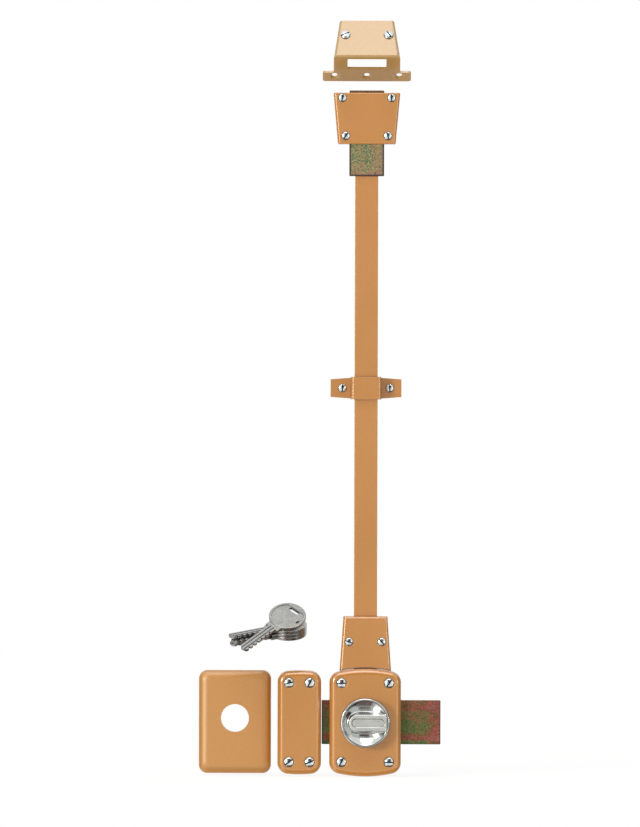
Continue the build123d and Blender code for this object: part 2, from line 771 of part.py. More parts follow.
with BuildPart() as rod_guide:
    with BuildSketch(Plane.XY.offset(STRAP_Z - STRAP_HEIGHT / 2)) as strap_path:
        with BuildLine():
            Polyline(
                (-ear, 0),
                (-ear, -SHEET),
                (-strap_outer, -SHEET),
                (-strap_outer, -arch_inside - SHEET),
                (strap_outer, -arch_inside - SHEET),
                (strap_outer, -SHEET),
                (ear, -SHEET),
                (ear, 0),
                (strap_inner, 0),
                (strap_inner, -arch_inside),
                (-strap_inner, -arch_inside),
                (-strap_inner, 0),
                close=True,
            )
        make_face()
        fillet(strap_path.vertices().group_by(Axis.Y)[0], BEND)
    extrude(amount=STRAP_HEIGHT)
    with BuildSketch(front(0)):
        with Locations((0, STRAP_Z)):
            Rectangle(STRAP_ARCH, STRAP_HEIGHT)
        for side in (-1, 1):
            with BuildLine():
                Polyline(
                    (side * (strap_outer - EDGE), STRAP_Z - EAR_HEIGHT / 2),
                    (side * ear, STRAP_Z - EAR_TIP_HEIGHT / 2),
                    (side * ear, STRAP_Z + EAR_TIP_HEIGHT / 2),
                    (side * (strap_outer - EDGE), STRAP_Z + EAR_HEIGHT / 2),
                    close=True,
                )
            make_face()
    extrude(amount=2 * LINK_DEPTH, mode=Mode.INTERSECT)
    drill(strap_places, SMALL_SCREW_R + HOLE_GAP, 0, SHEET)
save(rod_guide, "rod_guide")

rod_guide_screws = domed_screws(
    strap_places,
    SHEET,
    SHEET,
    SMALL_HEAD_R,
    SMALL_HEAD_HEIGHT,
    SMALL_SCREW_R,
    SMALL_REACH,
    (88, 97),
)
save(rod_guide_screws, "rod_guide_screws")

# Top guide: a tapered cover over a base with a channel for the top bolt
guide_outer = tapered_outline(GUIDE_LOW_WIDTH, GUIDE_TOP_WIDTH, GUIDE_LOW, GUIDE_HEIGHT)
guide_inner = tapered_outline(GUIDE_LOW_WIDTH, GUIDE_TOP_WIDTH, GUIDE_LOW, GUIDE_HEIGHT, SHEET)
guide_base_outline = tapered_outline(
    GUIDE_LOW_WIDTH, GUIDE_TOP_WIDTH, GUIDE_LOW, GUIDE_HEIGHT, SHEET + HOLE_GAP
)
guide_places = pair(GUIDE_SCREWS_TOP_X, guide_top - GUIDE_SCREWS_IN) + pair(
    GUIDE_SCREWS_LOW_X, GUIDE_LOW + GUIDE_SCREWS_UP
)
guide_middle = GUIDE_LOW + GUIDE_HEIGHT / 2
channel_width = TOP_BOLT_WIDTH + 2 * GAP
channel_back = top_bolt_back - GAP
channel_front = top_bolt_front + GAP

with BuildPart() as top_guide_cover:
    with BuildSketch(front(0)):
        add(guide_outer)
    extrude(amount=guide_depth)
    fillet(top_guide_cover.faces().sort_by(Axis.Y)[0].edges().sort_by(Axis.X)[:: 3], BEND)
    fillet(top_guide_cover.faces().sort_by(Axis.Y)[0].edges().filter_by(Axis.X), EDGE)
    with BuildSketch(front(0)):
        add(guide_inner)
    extrude(amount=channel_front, mode=Mode.SUBTRACT)
    with Locations((0, -(channel_back + channel_front) / 2, guide_middle)):
        Box(channel_width, channel_front - channel_back, 2 * GUIDE_HEIGHT, mode=Mode.SUBTRACT)
    drill(guide_places, SMALL_SCREW_R + HOLE_GAP, channel_front, guide_depth)
    drill(guide_places, SMALL_HEAD_R + GAP, guide_depth - SMALL_SINK, guide_depth)
save(top_guide_cover, "top_guide_cover")

with BuildPart() as top_guide_base:
    with BuildSketch(front(0)):
        add(guide_base_outline)
    extrude(amount=channel_front)
    with Locations((0, -(channel_back + channel_front) / 2, guide_middle)):
        Box(channel_width, channel_front - channel_back, 2 * GUIDE_HEIGHT, mode=Mode.SUBTRACT)
    with Locations((0, -(channel_back - SHEET) / 2, guide_middle)):
        Box(
            channel_width - 4 * SHEET,
            channel_back - SHEET,
            GUIDE_HEIGHT - 8 * SHEET,
            mode=Mode.SUBTRACT,
        )
    drill(guide_places, SMALL_SCREW_R + HOLE_GAP, 0, channel_front)
save(top_guide_base, "top_guide_base")

top_guide_screws = domed_screws(
    guide_places,
    guide_depth - SMALL_SINK,
    guide_depth - SMALL_SINK,
    SMALL_HEAD_R,
    SMALL_HEAD_HEIGHT,
    SMALL_SCREW_R,
    SMALL_REACH,
    (80, 94, 55, 104),
)
save(top_guide_screws, "top_guide_screws")

# Side strike: a cover with a pocket for the bolt, over a base with posts
strike_outer = arched_outline(STRIKE_WIDTH, STRIKE_HEIGHT, STRIKE_CROWN, CASE_CORNER)
strike_inner = arched_outline(
    STRIKE_WIDTH - 2 * WALL, STRIKE_HEIGHT - 2 * WALL, STRIKE_CROWN, CASE_CORNER - WALL
)
strike_shell = cover_shell(
    strike_outer.moved(Location((strike_x, 0))),
    strike_inner.moved(Location((strike_x, 0))),
    STRIKE_DEPTH,
)
strike_base_outline = arched_outline(
    STRIKE_WIDTH - 2 * WALL - 2 * HOLE_GAP,
    STRIKE_HEIGHT - 2 * WALL - 2 * HOLE_GAP,
    STRIKE_CROWN,
    CASE_CORNER - WALL,
)
strike_places = corners(
    STRIKE_WIDTH - 2 * STRIKE_SCREWS_SIDE, STRIKE_HEIGHT - 2 * STRIKE_SCREWS_END, strike_x
)

with BuildPart() as side_strike_cover:
    add(strike_shell.part)
    with Locations((strike_right, -bolt_slot_middle, 0)):
        Box(4 * WALL, bolt_slot_depth, BOLT_HEIGHT + 2 * GAP, mode=Mode.SUBTRACT)
    drill(strike_places, SCREW_R + HOLE_GAP, STRIKE_DEPTH - WALL, STRIKE_DEPTH)
    drill(strike_places, HEAD_R + GAP, STRIKE_DEPTH - HEAD_SINK, STRIKE_DEPTH)
save(side_strike_cover, "side_strike_cover")

with BuildPart() as side_strike_base:
    with BuildSketch(front(0)):
        add(strike_base_outline.moved(Location((strike_x, 0))))
    extrude(amount=SHEET)
    raise_posts(strike_places, STRIKE_POST_R, 0, STRIKE_DEPTH - WALL)
    drill(strike_places, SCREW_R + HOLE_GAP, 0, STRIKE_DEPTH - WALL)
save(side_strike_base, "side_strike_base")

side_strike_screws = domed_screws(
    strike_places,
    STRIKE_DEPTH - HEAD_SINK,
    STRIKE_DEPTH - HEAD_SINK,
    HEAD_R,
    HEAD_HEIGHT,
    SCREW_R,
    SCREW_REACH,
    (12, 38, 62, 22),
)
save(side_strike_screws, "side_strike_screws")

# Top strike: a front plate and a slotted floor at a right angle, leaning back together
lean = radians(KEEPER_LEAN)
keeper = Plane(
    origin=(0, -keeper_fold_depth, keeper_fold_z),
    x_dir=(1, 0, 0),
    z_dir=(0, -cos(lean), sin(lean)),
)
keeper_floor = Plane(origin=keeper.origin, x_dir=(-1, 0, 0), z_dir=-keeper.y_dir)
keeper_outer = tapered_outline(KEEPER_LOW_WIDTH, KEEPER_TOP_WIDTH, 0, KEEPER_FRONT)
keeper_inner = tapered_outline(KEEPER_LOW_WIDTH, KEEPER_TOP_WIDTH, 0, KEEPER_FRONT, SHEET)
keeper_mouth_width = KEEPER_TOP_WIDTH - 2 * SHEET
floor_start = BEND + EDGE / 2
floor_end = EARS_START + EDGE
slot_length = TOP_BOLT_THICK + SLOT_ROOM
ears_middle = (EARS_START + KEEPER_FLOOR) / 2
ear_hole_places = [(i * EARS_HOLES_X, EARS_START + EARS_HOLES_IN) for i in (-1, 0, 1)]
ear_sink_angle = degrees(atan((EARS_SINK_R - EARS_HOLE_R) / EARS_SINK_DEPTH))
keeper_places = pair(KEEPER_SCREWS_X, KEEPER_SCREWS_UP)

with BuildPart() as top_strike:
    with BuildSketch(keeper):
        add(keeper_outer)
    extrude(amount=-KEEPER_FLOOR)
    keeper_face = top_strike.faces().sort_by(Axis((0, 0, 0), keeper.z_dir))[-1]
    fillet(keeper_face.edges().sort_by(Axis((0, 0, 0), keeper.y_dir))[:-1], BEND)
    with BuildSketch(keeper.offset(-SHEET)):
        add(keeper_inner)
        with Locations((0, KEEPER_FRONT)):
            Rectangle(keeper_mouth_width, 4 * SHEET)
    extrude(amount=-KEEPER_FLOOR, mode=Mode.SUBTRACT)
    with Locations((0, 0, keeper_fold_z)):
        Box(
            2 * EARS_WIDTH,
            2 * KEEPER_FLOOR,
            4 * KEEPER_FRONT,
            align=(Align.CENTER, Align.MIN, Align.CENTER),
            mode=Mode.SUBTRACT,
        )
    with BuildSketch(keeper_floor):
        with Locations((0, (floor_start + floor_end) / 2)):
            Rectangle(KEEPER_LOW_WIDTH, floor_end - floor_start)
        with Locations((0, ears_middle)):
            RectangleRounded(EARS_WIDTH, KEEPER_FLOOR - EARS_START, BEND)
    extrude(amount=-SHEET)
    with BuildSketch(keeper_floor):
        with Locations((0, SLOT_START + slot_length / 2)):
            RectangleRounded(TOP_BOLT_WIDTH + 2 * SLOT_SIDE_ROOM, slot_length, EDGE)
        with Locations(*ear_hole_places):
            Circle(EARS_HOLE_R)
    extrude(amount=-SHEET, mode=Mode.SUBTRACT)
    with BuildSketch(keeper_floor):
        with Locations(*ear_hole_places):
            Circle(EARS_SINK_R)
    extrude(amount=-EARS_SINK_DEPTH, taper=ear_sink_angle, mode=Mode.SUBTRACT)
    with BuildSketch(keeper):
        with Locations(*keeper_places):
            Circle(SCREW_R + HOLE_GAP)
    extrude(amount=-SHEET, mode=Mode.SUBTRACT)
save(top_strike, "top_strike")

upright_screws = domed_screws(
    keeper_places, 0, SHEET, HEAD_R, HEAD_HEIGHT, SCREW_R, SCREW_REACH, (25, -55)
)

with BuildPart() as top_strike_screws:
    add(upright_screws.part.moved(keeper.location * front(0).location.inverse()))
save(top_strike_screws, "top_strike_screws")

# Outer plate: a crowned plate with a round hole and threaded posts behind
plate_places = corners(case_screws_x, case_screws_z, plate_x)
plate_inside = PLATE_DEPTH - PLATE_WALL
plate_middle = front(0, plate_x)
hole_places = [(plate_x, BARREL_RISE)]


def plate_outline(inset):
    """Outline of the outer plate drawn in by the inset, with its corners drawn in less."""
    return RectangleRounded(
        plate_width - 2 * inset, plate_height - 2 * inset, PLATE_CORNER - inset / 2
    )


with BuildPart() as outer_plate:
    with BuildSketch(plate_middle):
        plate_outline(0)
    extrude(amount=PLATE_EDGE)
    for share in (0, 1 / 3, 2 / 3, 1):
        rise = (PLATE_DEPTH - PLATE_EDGE) * sin(share * pi / 2)
        with BuildSketch(plate_middle.offset(PLATE_EDGE + rise)):
            plate_outline(PLATE_FLANK * (1 - cos(share * pi / 2)))
    loft()
    with BuildSketch(plate_middle):
        plate_outline(PLATE_WALL)
    extrude(amount=PLATE_EDGE, mode=Mode.SUBTRACT)
    with BuildSketch(plate_middle):
        plate_outline(PLATE_FLANK)
    extrude(amount=plate_inside, mode=Mode.SUBTRACT)
    raise_posts(plate_places, POST_R, 0, plate_inside)
    raise_posts(hole_places, PLATE_HOLE_R + PLATE_WALL, 0, plate_inside)
    drill(plate_places, TAP_R, 0, TAP_DEPTH)
    drill(hole_places, PLATE_HOLE_R, 0, PLATE_DEPTH)
save(outer_plate, "outer_plate")

# Round cylinder behind the case: the plug turns on the knob's axis, low in the barrel
plug_end = -EDGE - GAP
clip_back = -PLUG_INSET - CLIP_THICK
pin_distances = [BARREL_LENGTH - PIN_FIRST - i * PIN_PITCH for i in range(PIN_COUNT)]
key_pin_top = sqrt(PLUG_R**2 - PIN_R**2)
driver_low = PLUG_R + 2 * FIT
driver_top = driver_low + DRIVER_LENGTH

with BuildPart() as cylinder_body:
    with BuildSketch(front(0, 0, BARREL_RISE)):
        Circle(BARREL_R)
    extrude(amount=-BARREL_LENGTH)
    chamfer(cylinder_body.faces().sort_by(Axis.Y)[-1].edges(), EDGE)
    drill([(0, 0)], PLUG_R + FIT, -BARREL_LENGTH, 0)
    drill([(0, 0)], PLUG_HEAD_R + FIT, -BARREL_LENGTH, PLUG_HEAD - BARREL_LENGTH)
    drill([(0, 0)], CLIP_R + GAP, clip_back - FIT, 0)
    drill(cylinder_places, CYL_SCREW_R + FIT, -CYL_SCREW_REACH - FIT, 0)
    with Locations(*[(0, y, PIN_TOP / 2) for y in pin_distances]):
        Cylinder(PIN_R + FIT, PIN_TOP, mode=Mode.SUBTRACT)
save(cylinder_body, "cylinder_body")

with BuildPart() as cylinder_plug:
    with BuildSketch(front(-BARREL_LENGTH)):
        Circle(PLUG_R)
    extrude(amount=BARREL_LENGTH + plug_end)
    with BuildSketch(front(-BARREL_LENGTH)):
        Circle(PLUG_HEAD_R)
    extrude(amount=PLUG_HEAD - FIT)
    with BuildSketch(front(clip_back)):
        Circle(PLUG_R + FIT)
        Circle(PLUG_R - CLIP_GROOVE, mode=Mode.SUBTRACT)
    extrude(amount=CLIP_THICK, mode=Mode.SUBTRACT)
    with BuildSketch(front(-BARREL_LENGTH)):
        Rectangle(KEYWAY_WIDTH, KEYWAY_HEIGHT)
    extrude(amount=BARREL_LENGTH - TAIL_IN_PLUG - PLUG_INSET - CLIP_THICK, mode=Mode.SUBTRACT)
    with BuildSketch(front(plug_end)):
        Rectangle(TAIL_WIDTH + 2 * FIT, TAIL_THICK + 2 * FIT)
    extrude(amount=-TAIL_IN_PLUG, mode=Mode.SUBTRACT)
    with Locations(*[(0, y, PLUG_R / 2) for y in pin_distances]):
        Cylinder(PIN_R + FIT, PLUG_R, mode=Mode.SUBTRACT)
save(cylinder_plug, "cylinder_plug")

with BuildPart() as plug_clip:
    with BuildSketch(front(clip_back + FIT)):
        Circle(CLIP_R)
        Circle(PLUG_R - CLIP_GROOVE + FIT, mode=Mode.SUBTRACT)
        with Locations((0, -CLIP_R)):
            Rectangle(PLUG_R, 2 * CLIP_R - PLUG_R, mode=Mode.SUBTRACT)
    extrude(amount=CLIP_THICK - 2 * FIT)
save(plug_clip, "plug_clip")

with BuildPart() as key_pins:
    for i, y in enumerate(pin_distances):
        low = PIN_STEP * (i * 2 % 3)
        with Locations((0, y, (low + key_pin_top) / 2)):
            Cylinder(PIN_R, key_pin_top - low)
save(key_pins, "key_pins")

with BuildPart() as driver_pins:
    with Locations(*[(0, y, (driver_low + driver_top) / 2) for y in pin_distances]):
        Cylinder(PIN_R, DRIVER_LENGTH)
save(driver_pins, "driver_pins")

with BuildPart() as pin_springs:
    with Locations(*[(0, y, (driver_top + PIN_TOP) / 2) for y in pin_distances]):
        Cylinder(PIN_R - FIT, PIN_TOP - driver_top - 2 * FIT)
        Cylinder(PIN_R - FIT - SPRING_WALL, PIN_TOP, mode=Mode.SUBTRACT)
save(pin_springs, "pin_springs")

with BuildPart() as tailpiece:
    with BuildSketch(front(plug_end - TAIL_IN_PLUG + FIT)):
        Rectangle(TAIL_WIDTH, TAIL_THICK)
    extrude(amount=TAIL_IN_SHAFT - plug_end + TAIL_IN_PLUG - FIT)
save(tailpiece, "tailpiece")

cylinder_screws = flush_screws(
    cylinder_places, SHEET, CYL_HEAD_R, CYL_SCREW_R, SHEET + CYL_SCREW_REACH
)
save(cylinder_screws, "cylinder_screws")

# Keys: a stack of flat keys on a slanted table, the last one leaning on the stack's near rim
blade_low = (KEY_THICK - KEY_BLADE_THICK) / 2
key_levels = len(KEY_STACK_TURNS)
stack_x = strike_x - KEY_STACK_LEFT
stack_z = STRIKE_HEIGHT / 2 + KEY_STACK_RISE


def key_plane(origin, tilt, turn=0.0):
    """Slanted plane whose x axis points left, turned towards the viewer by the angle."""
    slant = radians(tilt)
    along = radians(180 + turn)
    uphill = Vector(0, cos(slant), sin(slant))
    return Plane(
        origin=origin,
        x_dir=Vector(1, 0, 0) * cos(along) + uphill * sin(along),
        z_dir=(0, -sin(slant), cos(slant)),
    )


def make_key(place):
    """Key with a round bow, a sunk field, a ring slot and a milled blade with cuts in one edge."""
    with BuildPart() as key:
        with BuildSketch(place):
            Circle(KEY_BOW_R)
        extrude(amount=KEY_THICK)
        fillet(key.edges(), EDGE / 2)
        with BuildSketch(place.offset(blade_low)) as blade:
            with Locations((KEY_NECK_END / 2, 0)):
                Rectangle(KEY_NECK_END, KEY_NECK_WIDTH)
            with Locations((KEY_REACH / 2, 0)):
                Rectangle(KEY_REACH, KEY_BLADE_WIDTH)
            chamfer(blade.vertices().group_by(Axis.X)[-1], KEY_TIP_BEVEL)
            for i in range(KEY_CUTS):
                with Locations((KEY_REACH - KEY_CUT_PITCH * (i + 1), KEY_BLADE_WIDTH / 2)):
                    Trapezoid(
                        KEY_CUT_WIDTH,
                        2 * KEY_CUT,
                        KEY_CUT_SLOPE,
                        rotation=180,
                        mode=Mode.SUBTRACT,
                    )
        extrude(amount=KEY_BLADE_THICK)
        for face_plane, inward in ((place.offset(KEY_THICK), -1), (place, 1)):
            with BuildSketch(face_plane):
                Circle(KEY_BOW_R - KEY_FIELD_EDGE)
                Rectangle(2 * KEY_SLOT_OUT + EDGE, 2 * KEY_BOW_R, mode=Mode.INTERSECT)
            extrude(amount=inward * KEY_FIELD, mode=Mode.SUBTRACT)
            groove_face = face_plane.offset(inward * blade_low)
            with BuildSketch(groove_face):
                for side in (-1, 1):
                    with Locations(((KEY_NECK_END + KEY_REACH) / 2, side * KEY_BLADE_WIDTH / 5)):
                        Rectangle(KEY_REACH - KEY_NECK_END + 2 * KEY_CUT, KEY_GROOVE_WIDTH)
            extrude(amount=inward * KEY_GROOVE, mode=Mode.SUBTRACT)
        with BuildSketch(place):
            with Locations((-KEY_SLOT_OUT + KEY_SLOT_WIDTH / 2, 0)):
                SlotOverall(KEY_SLOT_LENGTH, KEY_SLOT_WIDTH, rotation=90)
        extrude(amount=KEY_THICK, mode=Mode.SUBTRACT)
        with BuildSketch(place.offset(KEY_THICK)):
            with Locations((0, KEY_BOW_R - KEY_FIELD_EDGE - 2 * KEY_DIMPLE_R)):
                Ellipse(2 * KEY_DIMPLE_R, KEY_DIMPLE_R)
        extrude(amount=-KEY_THICK / 2, mode=Mode.SUBTRACT)
    return key


table = key_plane((stack_x, -KEY_STACK_DEPTH, stack_z), KEY_TABLE_TILT)
for i, turn in enumerate(KEY_STACK_TURNS):
    level = table.offset(i * KEY_THICK)
    save(make_key(key_plane(level.origin, KEY_TABLE_TILT, turn)), f"key_{i + 1}")
near_rim = table.offset(key_levels * KEY_THICK).origin + table.y_dir * KEY_BOW_R
leaning = key_plane(near_rim, KEY_TOP_TILT).offset(GAP / 2)
top_origin = leaning.origin - leaning.y_dir * KEY_TOP_UP + leaning.x_dir * KEY_TOP_LEFT
save(make_key(key_plane(top_origin, KEY_TOP_TILT, KEY_TOP_TURN)), f"key_{key_levels + 1}")
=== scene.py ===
"""Looks of a multipoint rim lock: painted covers, plated bolts, domed screws, knob and keys.

Metres in the scene, millimetres in the named sizes, +Z up, the front of the lock towards -Y,
the knob's axis at x = 0 and z = 0, and the door's face at y = 0.
"""

import math

import bmesh
import bpy
import numpy as np
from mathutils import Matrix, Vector


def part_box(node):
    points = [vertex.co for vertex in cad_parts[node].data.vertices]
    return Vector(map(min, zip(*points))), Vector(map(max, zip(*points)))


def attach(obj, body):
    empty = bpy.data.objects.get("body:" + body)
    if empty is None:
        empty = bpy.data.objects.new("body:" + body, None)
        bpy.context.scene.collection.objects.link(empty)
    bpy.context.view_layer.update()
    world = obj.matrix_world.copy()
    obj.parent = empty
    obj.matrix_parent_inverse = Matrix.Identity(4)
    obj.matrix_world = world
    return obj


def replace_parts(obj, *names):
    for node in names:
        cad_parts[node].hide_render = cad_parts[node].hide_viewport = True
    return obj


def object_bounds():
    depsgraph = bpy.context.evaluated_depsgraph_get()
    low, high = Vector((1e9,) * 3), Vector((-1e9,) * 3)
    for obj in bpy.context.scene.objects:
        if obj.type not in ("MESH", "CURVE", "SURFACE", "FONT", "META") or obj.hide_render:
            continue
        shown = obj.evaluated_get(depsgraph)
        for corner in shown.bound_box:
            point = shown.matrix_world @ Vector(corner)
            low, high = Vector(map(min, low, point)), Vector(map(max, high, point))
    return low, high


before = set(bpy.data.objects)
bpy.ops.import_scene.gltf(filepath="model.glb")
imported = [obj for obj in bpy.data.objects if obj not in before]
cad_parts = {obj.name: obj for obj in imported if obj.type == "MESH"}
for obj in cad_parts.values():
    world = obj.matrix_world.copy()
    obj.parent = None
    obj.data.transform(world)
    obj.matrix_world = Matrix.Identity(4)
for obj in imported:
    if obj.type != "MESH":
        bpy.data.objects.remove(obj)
cad_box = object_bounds()

MM = 0.001
TURN = 2 * math.pi

# Shader helpers


def put(tree, kind, **settings):
    """One node of a kind, with its settings."""
    made = tree.nodes.new(kind)
    for name, value in settings.items():
        setattr(made, name, value)
    return made


def feed(tree, socket, value):
    """Puts a number, a colour or another node's output into a socket."""
    if isinstance(value, bpy.types.NodeSocket):
        tree.links.new(value, socket)
    else:
        socket.default_value = value


def sums(tree, operation, *values):
    """One Math node on numbers or outputs."""
    made = put(tree, "ShaderNodeMath", operation=operation)
    for place, value in enumerate(values):
        feed(tree, made.inputs[place], value)
    return made.outputs[0]


def blend_colours(tree, share, first, second, how="MIX"):
    """Mix node on two colours."""
    made = put(tree, "ShaderNodeMix", data_type="RGBA", blend_type=how)
    feed(tree, made.inputs[0], share)
    feed(tree, made.inputs[6], first)
    feed(tree, made.inputs[7], second)
    return made.outputs[2]


def span(tree, value, low, high, to_low=0.0, to_high=1.0):
    """Smooth Map Range of a value from one span to another."""
    made = put(tree, "ShaderNodeMapRange", interpolation_type="SMOOTHSTEP")
    for place, item in enumerate((value, low, high, to_low, to_high)):
        feed(tree, made.inputs[place], item)
    return made.outputs[0]


def ramp(tree, value, stops):
    """Colour Ramp with stops of (place, colour)."""
    made = put(tree, "ShaderNodeValToRGB")
    band = made.color_ramp
    while len(band.elements) < len(stops):
        band.elements.new(0.5)
    for element, (place, colour) in zip(band.elements, stops):
        element.position = place
        element.color = (*colour, 1.0)
    feed(tree, made.inputs[0], value)
    return made.outputs[0]


def where(tree, stretch=(1.0, 1.0, 1.0)):
    """Object coordinates, stretched along each axis."""
    mapping = put(tree, "ShaderNodeMapping")
    tree.links.new(put(tree, "ShaderNodeTexCoord").outputs["Object"], mapping.inputs[0])
    mapping.inputs["Scale"].default_value = stretch
    return mapping.outputs[0]


def from_point(tree, point):
    """X, Y and Z of the object coordinates, measured from a point."""
    offset = put(tree, "ShaderNodeVectorMath", operation="SUBTRACT")
    tree.links.new(put(tree, "ShaderNodeTexCoord").outputs["Object"], offset.inputs[0])
    feed(tree, offset.inputs[1], point)
    axes = put(tree, "ShaderNodeSeparateXYZ")
    tree.links.new(offset.outputs[0], axes.inputs[0])
    return axes.outputs


def noise(tree, vector, scale, detail=2.0, rough=0.5, twist=0.0):
    """Noise texture's value."""
    made = put(tree, "ShaderNodeTexNoise")
    feed(tree, made.inputs["Vector"], vector)
    feed(tree, made.inputs["Scale"], scale)
    made.inputs["Detail"].default_value = detail
    made.inputs["Roughness"].default_value = rough
    made.inputs["Distortion"].default_value = twist
    return made.outputs[0]


def new_group(name, inputs, outputs):
    """Empty shader group: its tree, its inputs and its outputs."""
    tree = bpy.data.node_groups.new(name, "ShaderNodeTree")
    for label, kind, value in inputs:
        socket = tree.interface.new_socket(label, in_out="INPUT", socket_type=kind)
        socket.default_value = value
    for label, kind in outputs:
        tree.interface.new_socket(label, in_out="OUTPUT", socket_type=kind)
    return tree, put(tree, "NodeGroupInput").outputs, put(tree, "NodeGroupOutput").inputs


def use_group(tree, group, **values):
    """Places a group in a material with its own values."""
    made = put(tree, "ShaderNodeGroup", node_tree=group)
    for name, value in values.items():
        feed(tree, made.inputs[name.replace("_", " ")], value)
    return made.outputs


# Shader groups

NUMBER, VECTOR = "NodeSocketFloat", "NodeSocketVector"
EDGE_SPAN, WORN_SPAN, NOISE_SPAN, OPEN_SPAN = (0.004, 0.16), (0.42, 0.66), (0.3, 0.7), (0.90, 0.50)
PEEL_FINENESS = 28.0


def edge_group():
    """Masks of a piece's edges, whole and worn in patches.

    An edge is where the normal of a rounded copy leaves the real one.
    """
    tree, given, result = new_group(
        "edge_wear_and_highlight",
        [("Width", NUMBER, 0.5 * MM), ("Patch Scale", NUMBER, 300.0)],
        [("Edge", NUMBER), ("Worn", NUMBER)],
    )
    rounded = put(tree, "ShaderNodeBevel", samples=4)
    feed(tree, rounded.inputs["Radius"], given["Width"])
    along = put(tree, "ShaderNodeVectorMath", operation="DOT_PRODUCT")
    tree.links.new(rounded.outputs[0], along.inputs[0])
    tree.links.new(put(tree, "ShaderNodeNewGeometry").outputs["Normal"], along.inputs[1])
    edge = span(tree, sums(tree, "SUBTRACT", 1.0, along.outputs["Value"]), *EDGE_SPAN)
    patches = noise(tree, where(tree), given["Patch Scale"], detail=4.0, rough=0.6)
    feed(tree, result["Edge"], edge)
    feed(tree, result["Worn"], sums(tree, "MULTIPLY", edge, span(tree, patches, *WORN_SPAN)))
    return tree


def grain_group():
    """Fine grain: a tone that differs from flake to flake, and a fine height."""
    tree, given, result = new_group(
        "fine_grain",
        [("Scale", NUMBER, 3000.0), ("Depth", NUMBER, 0.1)],
        [("Tone", NUMBER), ("Height", NUMBER)],
    )
    cells = put(tree, "ShaderNodeTexVoronoi", feature="F1")
    feed(tree, cells.inputs["Vector"], where(tree))
    feed(tree, cells.inputs["Scale"], given["Scale"])
    flake = put(tree, "ShaderNodeSeparateColor")
    tree.links.new(cells.outputs["Color"], flake.inputs[0])
    half = sums(tree, "MULTIPLY", given["Depth"], 0.5)
    tone = sums(tree, "MULTIPLY", flake.outputs[0], given["Depth"])
    feed(tree, result["Tone"], sums(tree, "ADD", sums(tree, "SUBTRACT", tone, half), 1.0))
    feed(tree, result["Height"], sums(tree, "MULTIPLY", cells.outputs["Distance"], given["Depth"]))
    return tree


def cloud_group():
    """Slow change over the surface: large soft patches, and the smaller waves of orange peel."""
    tree, given, result = new_group(
        "soft_patches",
        [("Scale", NUMBER, 25.0)],
        [("Value", NUMBER), ("Peel", NUMBER)],
    )
    cloud = noise(tree, where(tree), given["Scale"], detail=3.0, rough=0.55, twist=0.4)
    feed(tree, result["Value"], span(tree, cloud, *NOISE_SPAN))
    peel_scale = sums(tree, "MULTIPLY", given["Scale"], PEEL_FINENESS)
    feed(tree, result["Peel"], noise(tree, where(tree), peel_scale, detail=1.0, rough=0.4))
    return tree


def streak_group():
    """Fine streaks along one direction of the piece, as brushing or plating leaves them."""
    tree, given, result = new_group(
        "fine_streaks",
        [("Vector", VECTOR, (0.0, 0.0, 0.0)), ("Scale", NUMBER, 900.0)],
        [("Streak", NUMBER)],
    )
    fine = noise(tree, given["Vector"], given["Scale"], detail=4.0, rough=0.65)
    feed(tree, result["Streak"], span(tree, fine, *NOISE_SPAN))
    return tree


def recess_group():
    """Mask of slots, gaps and grooves: how much of the surroundings a point can't see."""
    tree, given, result = new_group(
        "recess_shade",
        [("Reach", NUMBER, 1.0 * MM)],
        [("Recess", NUMBER)],
    )
    open_share = put(tree, "ShaderNodeAmbientOcclusion", samples=8)
    feed(tree, open_share.inputs["Distance"], given["Reach"])
    feed(tree, result["Recess"], span(tree, open_share.outputs["AO"], *OPEN_SPAN))
    return tree


def dimple_group():
    """Height of the dimples pressed round a row of two screws, the same left and right."""
    tree, given, result = new_group(
        "screw_row_dimples",
        [("Middle", VECTOR, (0.0, 0.0, 0.0)), ("Half", NUMBER, 0.0),
         ("Axis", VECTOR, (0.0, 1.0, 0.0)), ("Inner", NUMBER, 4.2 * MM),
         ("Outer", NUMBER, 6.0 * MM), ("Depth", NUMBER, 0.5 * MM)],
        [("Height", NUMBER)],
    )
    axes = from_point(tree, given["Middle"])
    folded = put(tree, "ShaderNodeCombineXYZ")
    side = sums(tree, "ABSOLUTE", axes["X"])
    feed(tree, folded.inputs["X"], sums(tree, "SUBTRACT", side, given["Half"]))
    tree.links.new(axes["Y"], folded.inputs["Y"])
    tree.links.new(axes["Z"], folded.inputs["Z"])
    across = put(tree, "ShaderNodeVectorMath", operation="CROSS_PRODUCT")
    tree.links.new(folded.outputs[0], across.inputs[0])
    tree.links.new(given["Axis"], across.inputs[1])
    radius = put(tree, "ShaderNodeVectorMath", operation="LENGTH")
    tree.links.new(across.outputs[0], radius.inputs[0])
    share = span(tree, radius.outputs["Value"], given["Inner"], given["Outer"], -1.0, 0.0)
    feed(tree, result["Height"], sums(tree, "MULTIPLY", share, given["Depth"]))
    return tree


EDGE, GRAIN, CLOUD, STREAK = edge_group(), grain_group(), cloud_group(), streak_group()
RECESS, DIMPLES = recess_group(), dimple_group()

# Materials


def finish_of(name, metallic, roughness, **plain):
    """A new material with its plain numbers set on the shader's own sockets."""
    made = bpy.data.materials.new(name)
    made.use_nodes = True
    shader = made.node_tree.nodes["Principled BSDF"]
    shader.inputs["Metallic"].default_value = metallic
    shader.inputs["Roughness"].default_value = roughness
    for label, value in plain.items():
        shader.inputs[label.replace("_", " ")].default_value = value
    return made, made.node_tree, shader


